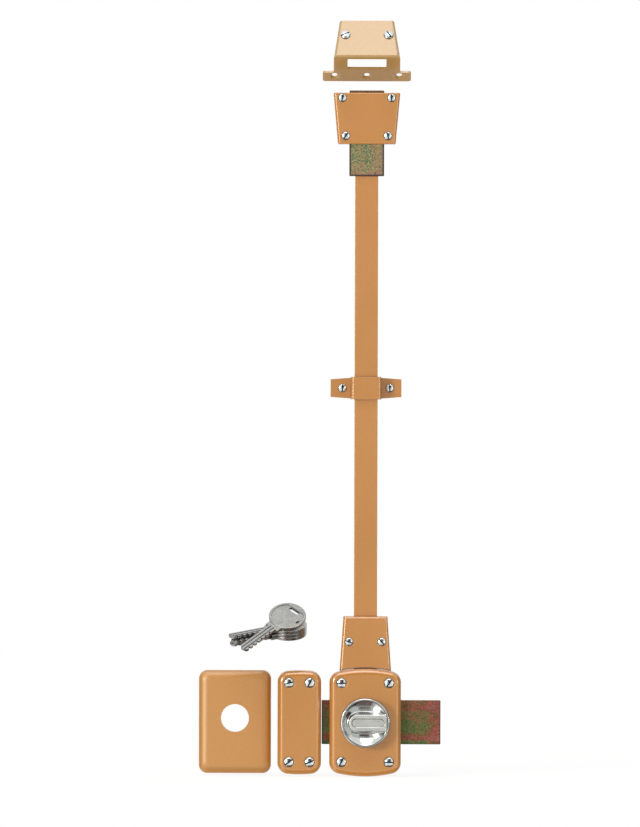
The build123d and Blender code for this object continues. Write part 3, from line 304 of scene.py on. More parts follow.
def roughen(tree, shader, height, strength, distance=0.1 * MM, under=None):
    """Bump from a height, over an earlier bump when there is one."""
    bump = put(tree, "ShaderNodeBump")
    bump.inputs["Strength"].default_value = strength
    bump.inputs["Distance"].default_value = distance
    feed(tree, bump.inputs["Height"], height)
    if under is not None:
        tree.links.new(under, bump.inputs["Normal"])
    feed(tree, shader.inputs["Normal"], bump.outputs[0])
    return bump.outputs[0]


def paler(colour, share):
    """A colour brought nearer to white by a share."""
    return (*(share + (1.0 - share) * part for part in colour), 1.0)


def shade(tree, colour, tone):
    """A colour times a tone."""
    grey = put(tree, "ShaderNodeCombineColor")
    for place in range(3):
        feed(tree, grey.inputs[place], tone)
    return blend_colours(tree, 1.0, colour, grey.outputs[0], "MULTIPLY")


COAT_IOR = 1.9
PAINT_METALLIC, PAINT_SPECULAR = 0.12, 0.3
GLOSSIER, ROUGHER = 0.04, 0.06
PAINT_PATCHES, FLAKES, FLAKE_DEPTH = 9.0, 2600.0, 0.16
# Paler paint edges: a painted highlight, which also stands for the thinner paint there
EDGE_HIGHLIGHT_WIDTH, EDGE_HIGHLIGHT_SHARE, EDGE_HIGHLIGHT_PALER = 0.6 * MM, 0.40, 0.35
# Painted shade in the paint's recesses: how far a point looks round it, and how much it is darkened
RECESS_REACH, RECESS_SHADE_SHARE = 1.2 * MM, 0.7
PEEL_STRENGTH, FLAKE_HEIGHT = 0.025, 0.6
# Dark brown of the painted shade in recesses and of the painted shadow along the link cover's seam
# with the case
SHADE_BROWN = (0.10, 0.035, 0.012, 1.0)
SEAM_SHADOW_FAR, SEAM_SHADOW_NEAR = 1.3 * MM, 0.7 * MM
DIMPLE_WIDTH, DIMPLE_DEPTH = 1.5 * MM, 0.6 * MM


def paint_material(name, dark, light, roughness, coat_roughness, rows=(), seam=None):
    """Gold-brown paint: two close tones in soft patches, fine flakes, orange peel, a painted highlight
    on its edges and painted shade in its recesses.

    A row gives the middle, half spacing and axis of two screws, and the dimples' inner radius.
    A seam gives the height of an arch's centre and its radius: a painted shadow line darkens the paint
    just outside it.
    """
    made, tree, shader = finish_of(name, PAINT_METALLIC, roughness, Coat_Weight=1.0,
                                   Coat_IOR=COAT_IOR, Coat_Roughness=coat_roughness,
                                   Specular_IOR_Level=PAINT_SPECULAR)
    cloud = use_group(tree, CLOUD, Scale=PAINT_PATCHES)
    grain = use_group(tree, GRAIN, Scale=FLAKES, Depth=FLAKE_DEPTH)
    edge = use_group(tree, EDGE, Width=EDGE_HIGHLIGHT_WIDTH)
    face = blend_colours(tree, cloud["Value"], (*dark, 1.0), (*light, 1.0))
    face = shade(tree, face, grain["Tone"])
    # Painted highlight: every edge is brought towards a paler cream, standing in for the highlight on
    # rounded bends and for the thinner paint on edges
    share = sums(tree, "MULTIPLY", edge["Edge"], EDGE_HIGHLIGHT_SHARE)
    face = blend_colours(tree, share, face, paler(light, EDGE_HIGHLIGHT_PALER))
    # Painted shade: where the surroundings are hidden, in gaps, slots and under edges, the paint is
    # darkened towards dark brown
    recess = use_group(tree, RECESS, Reach=RECESS_REACH)
    share = sums(tree, "MULTIPLY", recess["Recess"], RECESS_SHADE_SHARE)
    face = blend_colours(tree, share, face, SHADE_BROWN)
    # Painted shadow: a dark line on the link cover just outside the case's arched top, where the two
    # meet
    if seam is not None:
        height, radius = seam
        axes = from_point(tree, (0.0, 0.0, height))
        squares = sums(tree, "ADD", sums(tree, "MULTIPLY", axes["X"], axes["X"]),
                       sums(tree, "MULTIPLY", axes["Z"], axes["Z"]))
        outside = sums(tree, "SUBTRACT", sums(tree, "SQRT", squares), radius)
        face = blend_colours(tree, span(tree, outside, SEAM_SHADOW_FAR, SEAM_SHADOW_NEAR), face, SHADE_BROWN)
    feed(tree, shader.inputs["Base Color"], face)
    low, high = roughness - GLOSSIER, roughness + ROUGHER
    feed(tree, shader.inputs["Roughness"], span(tree, cloud["Value"], 0.0, 1.0, low, high))
    pressed = None
    for middle, half, axis, inner in rows:
        row = use_group(tree, DIMPLES, Middle=middle, Half=half, Axis=axis, Inner=inner,
                        Outer=inner + DIMPLE_WIDTH, Depth=DIMPLE_DEPTH)
        pressed = row["Height"] if pressed is None else sums(tree, "ADD", pressed, row["Height"])
    under = None if pressed is None else roughen(tree, shader, pressed, 1.0, 1.0)
    flakes = sums(tree, "MULTIPLY", grain["Height"], FLAKE_HEIGHT)
    roughen(tree, shader, sums(tree, "ADD", cloud["Peel"], flakes), PEEL_STRENGTH, under=under)
    return made


# Near-black teal of the painted shade in the metal's slots, gaps and recesses
PAINTED_SHADE = (0.015, 0.03, 0.035, 1.0)
METAL_PATCHES, METAL_EDGE, METAL_WEAR, METAL_PALER = 45.0, 0.35 * MM, 500.0, 0.5
STREAK_SHARE, GROOVE_SHADE_SHARE = 0.45, 0.8
STREAK_GLOSS, STREAK_DULL, SATIN_ROUGHNESS = 0.8, 1.25, 0.32


def metal_material(name, dark, light, roughness, streaks, scale=600.0, depth=0.08, edge=0.35,
                   reach=1.0 * MM, shadow=0.75, grooves=None, satin=None):
    """Bare or plated metal: streaks, soft patches, bright worn edges, and painted shade in recesses.

    Grooves and satin name a piece's attributes that are 1 in its painted shade lines and on its dull
    faces.
    """
    made, tree, shader = finish_of(name, 1.0, roughness)
    cloud = use_group(tree, CLOUD, Scale=METAL_PATCHES)
    streak = use_group(tree, STREAK, Vector=where(tree, streaks), Scale=scale)
    rim = use_group(tree, EDGE, Width=METAL_EDGE, Patch_Scale=METAL_WEAR)
    tone = sums(tree, "ADD", sums(tree, "MULTIPLY", streak["Streak"], STREAK_SHARE),
                sums(tree, "MULTIPLY", cloud["Value"], 1.0 - STREAK_SHARE))
    face = blend_colours(tree, tone, (*dark, 1.0), (*light, 1.0))
    share = sums(tree, "MULTIPLY", rim["Worn"], edge)
    face = blend_colours(tree, share, face, paler(light, METAL_PALER))
    # Painted shade: points that can't see their surroundings, in slots, gaps and cuts, are darkened
    # towards near-black
    recess = use_group(tree, RECESS, Reach=reach)
    share = sums(tree, "MULTIPLY", recess["Recess"], shadow)
    # Painted shade lines: a piece's groove marks darken its colour
    if grooves is not None:
        marks = put(tree, "ShaderNodeAttribute", attribute_name=grooves)
        lines = sums(tree, "MULTIPLY", marks.outputs["Fac"], GROOVE_SHADE_SHARE)
        share = sums(tree, "MAXIMUM", share, lines)
    feed(tree, shader.inputs["Base Color"], blend_colours(tree, share, face, PAINTED_SHADE))
    low, high = roughness * STREAK_GLOSS, roughness * STREAK_DULL
    dull = span(tree, streak["Streak"], 0.0, 1.0, low, high)
    if satin is not None:
        marks = put(tree, "ShaderNodeAttribute", attribute_name=satin)
        dull = sums(tree, "MULTIPLY_ADD", marks.outputs["Fac"], SATIN_ROUGHNESS, dull)
    feed(tree, shader.inputs["Roughness"], dull)
    roughen(tree, shader, streak["Streak"], depth)
    return made


ZINC_METALLIC, ZINC_ROUGHNESS, ZINC_GLOSS, ZINC_DULL = 0.6, 0.36, 0.28, 0.46
FINE_SPECKS, WIDE_SPECKS, ZINC_GRAIN, ZINC_GRAIN_DEPTH = 1100.0, 110.0, 1500.0, 0.8
MIDDLE_TINT = 0.36
# How far from the right end, from the nearer end and from the bottom each tint fades in
RIGHT_TINT, END_TINT, LOW_TINT = (14.0 * MM, 6.0 * MM), (12.0 * MM, 6.0 * MM), (4.0 * MM, 2.0 * MM)
STRIP_SOFT, END_SOFT = 0.2 * MM, 0.3 * MM
STRIP_DARK, STRIP_SHARE = (0.05, 0.035, 0.045, 1.0), 0.8
END_BROWN = (0.20, 0.11, 0.05, 1.0)
ZINC_EDGE, ZINC_EDGE_SHARE, ZINC_STRENGTH = (0.07, 0.05, 0.05, 1.0), 0.6, 0.25


def passivated_material(name, node, tone, stops, stretch, fine_gain, wide_gain, strips, end):
    """Yellow-passivated zinc: mottled teal, green, olive, brown and rose, with dark edges.

    The tint runs over the stops' colours with a fine and a wide noise, each with its own gain,
    and with the place on the piece: tone gives the gain towards the right end, the top and
    bottom, and for the last strip at the bottom. Strips are the widths of the dark side and lower
    edges, and end the height of the brown upper end.
    """
    made, tree, shader = finish_of(name, ZINC_METALLIC, ZINC_ROUGHNESS)
    low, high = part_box(node)
    axes = from_point(tree, (low + high) / 2)
    half_x, half_z = (high.x - low.x) / 2, (high.z - low.z) / 2
    from_right = sums(tree, "SUBTRACT", half_x, axes["X"])
    from_side = sums(tree, "SUBTRACT", half_x, sums(tree, "ABSOLUTE", axes["X"]))
    from_top = sums(tree, "SUBTRACT", half_z, axes["Z"])
    from_low = sums(tree, "ADD", half_z, axes["Z"])
    nearer = sums(tree, "MINIMUM", from_top, from_low)
    fine = noise(tree, where(tree, stretch), FINE_SPECKS, detail=2.0, rough=0.6)
    wide = noise(tree, where(tree, stretch), WIDE_SPECKS, detail=3.0, rough=0.6, twist=0.6)
    grain = use_group(tree, GRAIN, Scale=ZINC_GRAIN, Depth=ZINC_GRAIN_DEPTH)
    tint = MIDDLE_TINT
    for specks, gain in ((fine, fine_gain), (wide, wide_gain)):
        tint = sums(tree, "MULTIPLY_ADD", sums(tree, "SUBTRACT", specks, 0.5), gain, tint)
    places = ((from_right, RIGHT_TINT), (nearer, END_TINT), (from_low, LOW_TINT))
    for (distance, (far, near)), gain in zip(places, tone):
        tint = sums(tree, "MULTIPLY_ADD", span(tree, distance, far, near), gain, tint)
    face = shade(tree, ramp(tree, tint, stops), grain["Tone"])
    dark = [span(tree, distance, strip + STRIP_SOFT, strip - STRIP_SOFT)
            for distance, strip in zip((from_side, from_low), strips)]
    share = sums(tree, "MULTIPLY", sums(tree, "MAXIMUM", *dark), STRIP_SHARE)
    face = blend_colours(tree, share, face, STRIP_DARK)
    brown = span(tree, from_top, end + END_SOFT, end - END_SOFT)
    face = blend_colours(tree, brown, face, END_BROWN)
    edge = use_group(tree, EDGE)
    share = sums(tree, "MULTIPLY", edge["Edge"], ZINC_EDGE_SHARE)
    feed(tree, shader.inputs["Base Color"], blend_colours(tree, share, face, ZINC_EDGE))
    feed(tree, shader.inputs["Roughness"], span(tree, fine, *NOISE_SPAN, ZINC_GLOSS, ZINC_DULL))
    roughen(tree, shader, grain["Height"], ZINC_STRENGTH)
    return made


EVEN, ALONG_Y, ALONG_Z = (1.0, 1.0, 1.0), (1.0, 0.1, 1.0), (1.0, 1.0, 0.1)
HEAD_GAP = 0.1 * MM


def head_rows(node, head_r):
    """Upper and lower row of two screws of a node: middle, half spacing, axis, inner radius."""
    low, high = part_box(node)
    middle_x, half = (low.x + high.x) / 2, (high.x - low.x) / 2 - head_r
    return [((middle_x, 0.0, z), half, (0.0, 1.0, 0.0), head_r + HEAD_GAP)
            for z in (high.z - head_r, low.z + head_r)]


DARK_PAINT, LIGHT_PAINT = (0.575, 0.238, 0.040), (0.61, 0.258, 0.050)
HEAD_R, SMALL_HEAD_R = 4.1, 3.5
CASE_TOP, CASE_ARCH = 46.55 * MM, 108.34 * MM
LINK_SEAM = (CASE_TOP - CASE_ARCH, CASE_ARCH)
SATIN_PAINT = {"roughness": 0.36, "coat_roughness": 0.20}
GLOSS_PAINT = {"roughness": 0.36, "coat_roughness": 0.08}
PAINT = paint_material("gold_brown_paint", DARK_PAINT, LIGHT_PAINT, **SATIN_PAINT)
CASE_PAINT = paint_material("case_paint", DARK_PAINT, LIGHT_PAINT, **GLOSS_PAINT,
                            rows=head_rows("case_screws", HEAD_R * MM))
STRIKE_PAINT = paint_material("side_strike_paint", DARK_PAINT, LIGHT_PAINT, **GLOSS_PAINT,
                              rows=head_rows("side_strike_screws", HEAD_R * MM))
LINK_PAINT = paint_material("link_cover_paint", DARK_PAINT, LIGHT_PAINT, **SATIN_PAINT,
                            seam=LINK_SEAM)
PLATE_PAINT = paint_material("plate_paint", (0.55, 0.236, 0.030), (0.585, 0.256, 0.038),
                             roughness=0.50, coat_roughness=0.42)
KEEPER_PAINT = paint_material("keeper_paint", (0.50, 0.29, 0.085), (0.54, 0.315, 0.10),
                              roughness=0.42, coat_roughness=0.26)
# The screws' slots and the ring round each head take the full painted shade
SCREW_ZINC = metal_material("bright_zinc", (0.64, 0.72, 0.73), (0.82, 0.89, 0.89), 0.14, EVEN,
                            scale=500.0, depth=0.04, reach=2.2 * MM, shadow=1.0)
PLAIN_ZINC = metal_material("plain_zinc", (0.42, 0.45, 0.46), (0.64, 0.66, 0.65), 0.34, ALONG_Z,
                            scale=900.0)
SPRING = metal_material("spring_steel", (0.20, 0.22, 0.25), (0.36, 0.38, 0.41), 0.3, ALONG_Z,
                        scale=800.0)
# The knob's groove marks carry its painted shade lines
KNOB_CHROME = metal_material("knob_chrome", (0.60, 0.615, 0.60), (0.73, 0.74, 0.71), 0.09, EVEN,
                             scale=300.0, depth=0.02, edge=0.2, reach=0.6 * MM,
                             grooves="groove_shade", satin="satin")
BRASS = metal_material("brass", (0.52, 0.38, 0.15), (0.72, 0.55, 0.26), 0.25, ALONG_Y, scale=900.0)
# The keys take painted shade in their cuts and where they lie on each other
NICKEL = metal_material("key_nickel", (0.34, 0.34, 0.325), (0.385, 0.385, 0.37), 0.34, ALONG_Z,
                        scale=260.0, depth=0.04, edge=0.12, reach=1.6 * MM, shadow=0.9)
DULL_NICKEL = metal_material("dull_key_nickel", (0.36, 0.355, 0.335), (0.50, 0.495, 0.475), 0.26,
                             ALONG_Z, scale=260.0, depth=0.05, edge=0.2, reach=1.6 * MM, shadow=0.9)
SIDE_DICHROMATE = passivated_material(
    "side_bolt_dichromate", "side_bolt", (0.30, 0.30, -0.40),
    [(0.08, (0.075, 0.15, 0.065)), (0.30, (0.12, 0.165, 0.05)), (0.48, (0.20, 0.145, 0.055)),
     (0.64, (0.26, 0.10, 0.055)), (0.80, (0.33, 0.09, 0.065)), (0.95, (0.34, 0.12, 0.095))],
    stretch=(0.30, 1.0, 1.0), fine_gain=1.0, wide_gain=1.0, strips=(0.8 * MM, 0.4 * MM),
    end=0.5 * MM)
TOP_DICHROMATE = passivated_material(
    "top_bolt_dichromate", "top_bolt", (0.16, 0.10, 0.15),
    [(0.05, (0.11, 0.21, 0.17)), (0.28, (0.19, 0.28, 0.11)), (0.45, (0.40, 0.42, 0.13)),
     (0.62, (0.58, 0.30, 0.17)), (0.78, (0.42, 0.19, 0.17)), (0.95, (0.22, 0.13, 0.15))],
    stretch=EVEN, fine_gain=3.2, wide_gain=0.8, strips=(1.5 * MM, 1.3 * MM), end=3.0 * MM)

WORN_BY = {
    LINK_PAINT: ["link_cover"],
    PAINT: ["rod", "rod_guide", "top_guide_cover"],
    KEEPER_PAINT: ["top_strike"],
    CASE_PAINT: ["case_cover"],
    STRIKE_PAINT: ["side_strike_cover"],
    PLATE_PAINT: ["outer_plate"],
    SIDE_DICHROMATE: ["side_bolt"],
    TOP_DICHROMATE: ["top_bolt"],
    PLAIN_ZINC: ["back_plate", "side_strike_base", "top_guide_base", "rod_slider", "drive_shaft",
                 "link_screws", "top_bolt_pins", "cylinder_screws", "knob_grub_screw", "tailpiece"],
    SPRING: ["bolt_spring", "pin_springs", "plug_clip"],
    KNOB_CHROME: ["knob"],
    BRASS: ["cylinder_body", "cylinder_plug", "key_pins", "driver_pins", "knob_bush"],
    NICKEL: ["key_4"],
    DULL_NICKEL: ["key_1", "key_2", "key_3"],
}
for finish, names in WORN_BY.items():
    for name in names:
        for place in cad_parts[name].material_slots:
            place.material = finish

# Screws with domed slotted heads and threads, sizes in millimetres

HEAD_COLUMNS = 10
HEAD_ROWS = 21
SHOULDER = 0.55
HEAD_EDGE = 0.58
SLOT_SHARE = 0.27
SLOT_FLOOR = 0.2
SLOT_LEAN = 0.06
NECK = 0.3
PITCH = 1.0
THREAD_DEPTH = 0.35
THREAD_ROWS = 5
TIP = 0.5
MERGE = 1e-6
SHARP = math.radians(38)


def solid_piece(name, points, faces, finish, body):
    """Closed mesh from points in metres and quads: doubles merged, faces outward, sharp edges kept."""
    mesh = bpy.data.meshes.new(name)
    mesh.from_pydata(points.tolist(), [], faces.tolist())
    shell = bmesh.new()
    shell.from_mesh(mesh)
    bmesh.ops.remove_doubles(shell, verts=shell.verts, dist=MERGE)
    bmesh.ops.recalc_face_normals(shell, faces=shell.faces)
    shell.to_mesh(mesh)
    shell.free()
    mesh.polygons.foreach_set("use_smooth", [True] * len(mesh.polygons))
    mesh.set_sharp_from_angle(angle=SHARP)
    mesh.materials.append(finish)
    made = bpy.data.objects.new(name, mesh)
    bpy.context.collection.objects.link(made)
    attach(made, body)
    return made


def grid_quads(rows, columns):
    """Quads of a grid whose points run row by row."""
    row, column = np.meshgrid(np.arange(rows - 1), np.arange(columns - 1), indexing="ij")
    here = (row * columns + column).ravel()
    return np.stack([here, here + 1, here + columns + 1, here + columns], -1)


def ring_quads(rings, count):
    """Quads between rings of count points each, closed around."""
    ring, column = np.meshgrid(np.arange(rings - 1), np.arange(count), indexing="ij")
    here = (ring * count + column).ravel()
    beside = (ring * count + (column + 1) % count).ravel()
    return np.stack([here, beside, beside + count, here + count], -1)


def dome_height(radius, head_r, head_height):
    """Height of the head: an arc from its crown to its edge, less a round shoulder at the rim."""
    rise = head_height * (1.0 - HEAD_EDGE)
    arc_r = (head_r**2 + rise**2) / (2.0 * rise)
    into_shoulder = np.clip(radius - (head_r - SHOULDER), 0.0, SHOULDER)
    fall = SHOULDER - np.sqrt(SHOULDER**2 - into_shoulder**2)
    return head_height - arc_r + np.sqrt(arc_r**2 - radius**2) - fall


def slotted_screw(wall, length, head_r, head_height, shank_r, turn):
    """One screw: points (right, up, out) from the middle of its seat, and quads.

    Head: a column stands s off the slot's middle line, and its rows lie at t times the root of
    R squared less s squared, with s and t the sines of even angles. A column in the slot keeps to
    the floor's height. Below it come rings: the head's side, the neck, and a thread, whose radius
    is the shank's less a triangle wave of the depth over the pitch plus the angle over a turn.
    """
    half_slot = head_r * SLOT_SHARE / 2
    first_angle = math.asin((half_slot + SLOT_LEAN) / head_r)
    side = head_r * np.sin(np.linspace(first_angle, math.pi / 2, HEAD_COLUMNS))
    across = np.concatenate([-side[::-1], [-half_slot, half_slot], side])
    along = np.sin(np.linspace(-math.pi / 2, math.pi / 2, HEAD_ROWS))
    s, t = np.meshgrid(across, along, indexing="ij")
    y = t * np.sqrt(np.maximum(head_r**2 - s**2, 0.0))
    dome = dome_height(np.minimum(np.hypot(s, y), head_r), head_r, head_height)
    floor_height = np.minimum(dome, head_height * SLOT_FLOOR)
    height = np.where(np.abs(s) <= half_slot + SLOT_LEAN / 2, floor_height, dome)
    head = np.stack([s, y, height], -1)
    rim = np.concatenate([head[:, -1], head[-2:0:-1, 0]])
    unit = rim[:, :2] / head_r
    angle = np.arctan2(unit[:, 1], unit[:, 0])
    neck_r = shank_r - NECK
    thread = np.arange(wall, length - TIP, PITCH / THREAD_ROWS)
    phase = (thread[:, None] / PITCH + angle[None, :] / TURN) % 1.0
    fade = np.clip((thread - wall) / PITCH, 0.0, 1.0)[:, None]
    crest = shank_r - THREAD_DEPTH * np.abs(2.0 * phase - 1.0) * fade
    plain = [(head_r, 0.0), (neck_r, 0.0), (neck_r, wall), (shank_r, wall)]
    end = [(shank_r - THREAD_DEPTH, length - TIP), (shank_r - TIP, length), (0.0, length)]
    radii = np.concatenate([
        [np.full(len(unit), radius) for radius, depth in plain], crest,
        [np.full(len(unit), radius) for radius, depth in end],
    ])
    depths = np.concatenate([[depth for radius, depth in plain], thread,
                             [depth for radius, depth in end]])
    rings = np.empty((len(depths) + 1, len(unit), 3))
    rings[0] = rim
    rings[1:, :, :2] = radii[:, :, None] * unit
    rings[1:, :, 2] = -depths[:, None]
    points = np.concatenate([head.reshape(-1, 3), rings.reshape(-1, 3)])
    faces = np.concatenate([
        grid_quads(len(across), HEAD_ROWS),
        ring_quads(len(rings), len(unit)) + head.size // 3,
    ])
    turn = math.radians(turn)
    slot_frame = np.array([
        (math.sin(turn), -math.cos(turn), 0.0), (math.cos(turn), math.sin(turn), 0.0),
        (0.0, 0.0, 1.0),
    ])
    return points @ slot_frame, faces


FRONT_FRAME = np.array([(1.0, 0.0, 0.0), (0.0, 0.0, 1.0), (0.0, -1.0, 0.0)])


def screw_set(name, node, places, seat, head_r, head_height, shank_r, reach, turns,
              stand=FRONT_FRAME, wall=None):
    """All the screws of one cover as one piece, in place of the plain node."""
    neck_end = seat if wall is None else wall
    points, faces, count = [], [], 0
    for (x, z), turn in zip(places, turns):
        local, quads = slotted_screw(neck_end, seat + reach, head_r, head_height, shank_r, turn)
        centre = np.array([x, -seat, z]) if wall is None else keeper_point(x, z)
        points.append((centre + local @ stand) * MM)
        faces.append(quads + count)
        count += len(local)
    made = solid_piece(name, np.concatenate(points), np.concatenate(faces), SCREW_ZINC, "lock")
    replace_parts(made, node)


def heads_box(node, head_r):
    """Middles of the outermost heads of a node: left and right x, low and high z, in mm."""
    low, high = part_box(node)
    return (low.x / MM + head_r, high.x / MM - head_r, low.z / MM + head_r, high.z / MM - head_r)


def four_places(node, head_r):
    """The four screws of a cover: left top, left low, right top, right low."""
    left, right, low, high = heads_box(node, head_r)
    return [(left, high), (left, low), (right, high), (right, low)]


def two_places(node, head_r):
    """Two screws side by side."""
    left, right, low, high = heads_box(node, head_r)
    return [(left, (low + high) / 2), (right, (low + high) / 2)]


HEAD_HEIGHT, SCREW_R, SCREW_REACH = 2.2, 2.5, 25.0
SMALL_HEAD_HEIGHT, SMALL_SCREW_R, SMALL_REACH = 1.9, 1.9, 18.0
COVER_SEAT, LINK_SEAT, STRAP_SEAT, GUIDE_SEAT = 23.2, 18.5, 2.0, 18.9
GUIDE_NARROW_X = 18.15
KEEPER_LEAN = math.radians(33.0)
KEEPER_FOLD_Y, KEEPER_FOLD_Z = -22.7, 573.6
KEEPER_SCREW_X, KEEPER_SCREW_UP = 18.65, 23.2
KEEPER_SHEET = 2.0
KEEPER_FRAME = np.array([
    (1.0, 0.0, 0.0), (0.0, math.sin(KEEPER_LEAN), math.cos(KEEPER_LEAN)),
    (0.0, -math.cos(KEEPER_LEAN), math.sin(KEEPER_LEAN)),
])


def keeper_point(x, up):
    """Point on the leaning face of the top strike, x across and up from its fold, in mm."""
    return np.array([x, KEEPER_FOLD_Y, KEEPER_FOLD_Z]) + up * KEEPER_FRAME[1]


LARGE = (HEAD_R, HEAD_HEIGHT, SCREW_R, SCREW_REACH)
SMALL = (SMALL_HEAD_R, SMALL_HEAD_HEIGHT, SMALL_SCREW_R, SMALL_REACH)
screw_set("case_screw_set", "case_screws", four_places("case_screws", HEAD_R), COVER_SEAT, *LARGE,
          turns=(0, 62, 55, -2))
screw_set("side_strike_screw_set", "side_strike_screws",
          four_places("side_strike_screws", HEAD_R), COVER_SEAT, *LARGE, turns=(12, 38, 62, 22))
screw_set("link_screw_set", "link_cover_screws", two_places("link_cover_screws", SMALL_HEAD_R),
          LINK_SEAT, *SMALL, turns=(-20, -45))
screw_set("strap_screw_set", "rod_guide_screws", two_places("rod_guide_screws", SMALL_HEAD_R),
          STRAP_SEAT, *SMALL, turns=(88, 97))
guide_left, guide_right, guide_low, guide_high = heads_box("top_guide_screws", SMALL_HEAD_R)
screw_set("top_guide_screw_set", "top_guide_screws",
          [(guide_left, guide_high), (guide_right, guide_high), (-GUIDE_NARROW_X, guide_low),
           (GUIDE_NARROW_X, guide_low)], GUIDE_SEAT, *SMALL, turns=(80, 94, 55, 104))
screw_set("top_strike_screw_set", "top_strike_screws",
          [(-KEEPER_SCREW_X, KEEPER_SCREW_UP), (KEEPER_SCREW_X, KEEPER_SCREW_UP)], 0.0, *LARGE,
          turns=(25, -55), stand=KEEPER_FRAME, wall=KEEPER_SHEET)

# Knob with a dished face and a grip bar, sizes in millimetres

KNOB_R, KNOB_BACK, KNOB_FRONT = 21.15, 24.3, 37.8
RIM_ROUND, BACK_ROUND, RIM_SOFT = 1.0, 0.5, 0.3
DISH_DEPTH, DISH_SPHERE = 8.0, 26.9
BAR_HALF, BAR_LEFT, BAR_RIGHT = 7.0, 13.8, 19.0
BAR_SLOPE = math.radians(24.0)
BAR_EDGE, BAR_FOOT = 0.35, 0.9
FIELD_LEFT, FIELD_RIGHT, FIELD_HALF = -11.8, 16.7, 3.7
FIELD_DEPTH, FIELD_WALL = 0.3, 0.6
# Painted shade lines on the knob: the field's outline, lighter at its sides than at its ends, the line
# at the bar's end, a line along the bar's foot and a ring inside the rim
LINE_WIDTH, FOOT_LINE, RIM_LINE, RIM_DARK = 0.35, 8.3, 19.4, 0.8
FOOT_FROM, FOOT_TO = -12.0, 2.0
SIDE_DARK, ENDS_FROM, ENDS_SOFT = 0.35, 9.0, 3.0
END_LINE, END_LINE_WIDTH, END_LINE_DEPTH = 18.7, 0.25, 0.3
BORE_R, BORE_DEPTH = 5.02, 8.0
GRUB_R, GRUB_SINK, GRUB_WALL = 2.0, 3.05, 0.25
KNOB_COLUMNS, MIDDLE_R = 400, 0.3
FACE_ROWS, RIM_ROWS, SIDE_ROWS, BACK_ROWS = 145, 10, 36, 5


def softer(first, second, reach):
    """Greater of two heights, rounded where they meet: half of the sum plus the soft difference."""
    return (first + second + np.sqrt((first - second) ** 2 + reach**2)) / 2


def ease(value):
    """Smooth step of a value from 0 to 1."""
    share = np.clip(value, 0.0, 1.0)
    return share * share * (3.0 - 2.0 * share)


def field_inside(x, z):
    """Distance inside the racetrack field's outline, negative outside it."""
    middle, reach = (FIELD_LEFT + FIELD_RIGHT) / 2, (FIELD_RIGHT - FIELD_LEFT) / 2
    aside = np.maximum(np.abs(x - middle) - (reach - FIELD_HALF), 0.0)
    return FIELD_HALF - np.hypot(aside, z)


def knob_face(radius, angle):
    """Depth of the knob's front, in mm, at a radius and an angle.

    Dish: D = F - H + S - sqrt(S S - r r), with F the front, H its depth and S the sphere's radius.
    Bar: F - max(0, d) / tan(slope), with d the distance outside the bar's outline. The greater of
    the two, held under F, less the racetrack field, the line at the bar's end and the outer round.
    """
    x, z = radius * np.cos(angle), radius * np.sin(angle)
    dish = KNOB_FRONT - DISH_DEPTH + DISH_SPHERE - np.sqrt(DISH_SPHERE**2 - radius**2)
    middle = BAR_HALF - BAR_LEFT
    straight = softer(np.abs(z) - BAR_HALF, x - BAR_RIGHT, BAR_EDGE)
    outside = np.where(x < middle, np.hypot(x - middle, z) - BAR_HALF, straight)
    bar = KNOB_FRONT - softer(outside, 0.0, BAR_EDGE) / math.tan(BAR_SLOPE)
    face = softer(dish, bar, BAR_FOOT)
    face = -softer(-face, -KNOB_FRONT, RIM_SOFT)
    face = face - FIELD_DEPTH * ease(field_inside(x, z) / FIELD_WALL + 0.5)
    line = np.exp(-(((x - END_LINE) / END_LINE_WIDTH) ** 2)) * ease(BAR_HALF + 0.5 - np.abs(z))
    face = face - END_LINE_DEPTH * line
    into_round = np.clip(radius - (KNOB_R - RIM_ROUND), 0.0, RIM_ROUND)
    edge = KNOB_FRONT - RIM_ROUND + np.sqrt(RIM_ROUND**2 - into_round**2)
    return np.minimum(face, edge)


def knob_marks(mesh):
    """Marks the knob's painted shade lines and its dull grip, each 0 to 1, as attributes.

    A line's mark is exp(-(d / w)^2), with d the distance from the line and w its width.
    """
    place = np.empty(len(mesh.vertices) * 3)
    mesh.vertices.foreach_get("co", place)
    x, depth, z = (place.reshape(-1, 3) / MM * (1.0, -1.0, 1.0)).T
    in_front = depth > KNOB_FRONT - FIELD_DEPTH - RIM_ROUND
    outline = np.exp(-((field_inside(x, z) - FIELD_WALL / 2) / LINE_WIDTH) ** 2)
    from_middle = np.abs(x - (FIELD_LEFT + FIELD_RIGHT) / 2)
    ends = SIDE_DARK + (1.0 - SIDE_DARK) * ease((from_middle - ENDS_FROM) / ENDS_SOFT)
    end_line = np.exp(-(((x - END_LINE) / LINE_WIDTH) ** 2)) * (np.abs(z) < BAR_HALF)
    foot = np.exp(-(((-z - FOOT_LINE) / LINE_WIDTH) ** 2)) * (x < FOOT_TO) * (x > FOOT_FROM)
    rim_line = np.exp(-(((np.hypot(x, z) - RIM_LINE) / LINE_WIDTH) ** 2)) * RIM_DARK
    # Painted shade lines, darkened into the knob's colour
    dark = np.maximum(np.maximum(outline * ends, end_line) * in_front, np.maximum(foot, rim_line))
    on_grip = (depth > KNOB_FRONT - FIELD_DEPTH - RIM_SOFT) * (np.abs(z) < BAR_HALF) * (x < END_LINE)
    for label, value in (("groove_shade", dark), ("satin", on_grip.astype(float))):
        marks = mesh.attributes.new(label, "FLOAT", "POINT")
        marks.data.foreach_set("value", value)


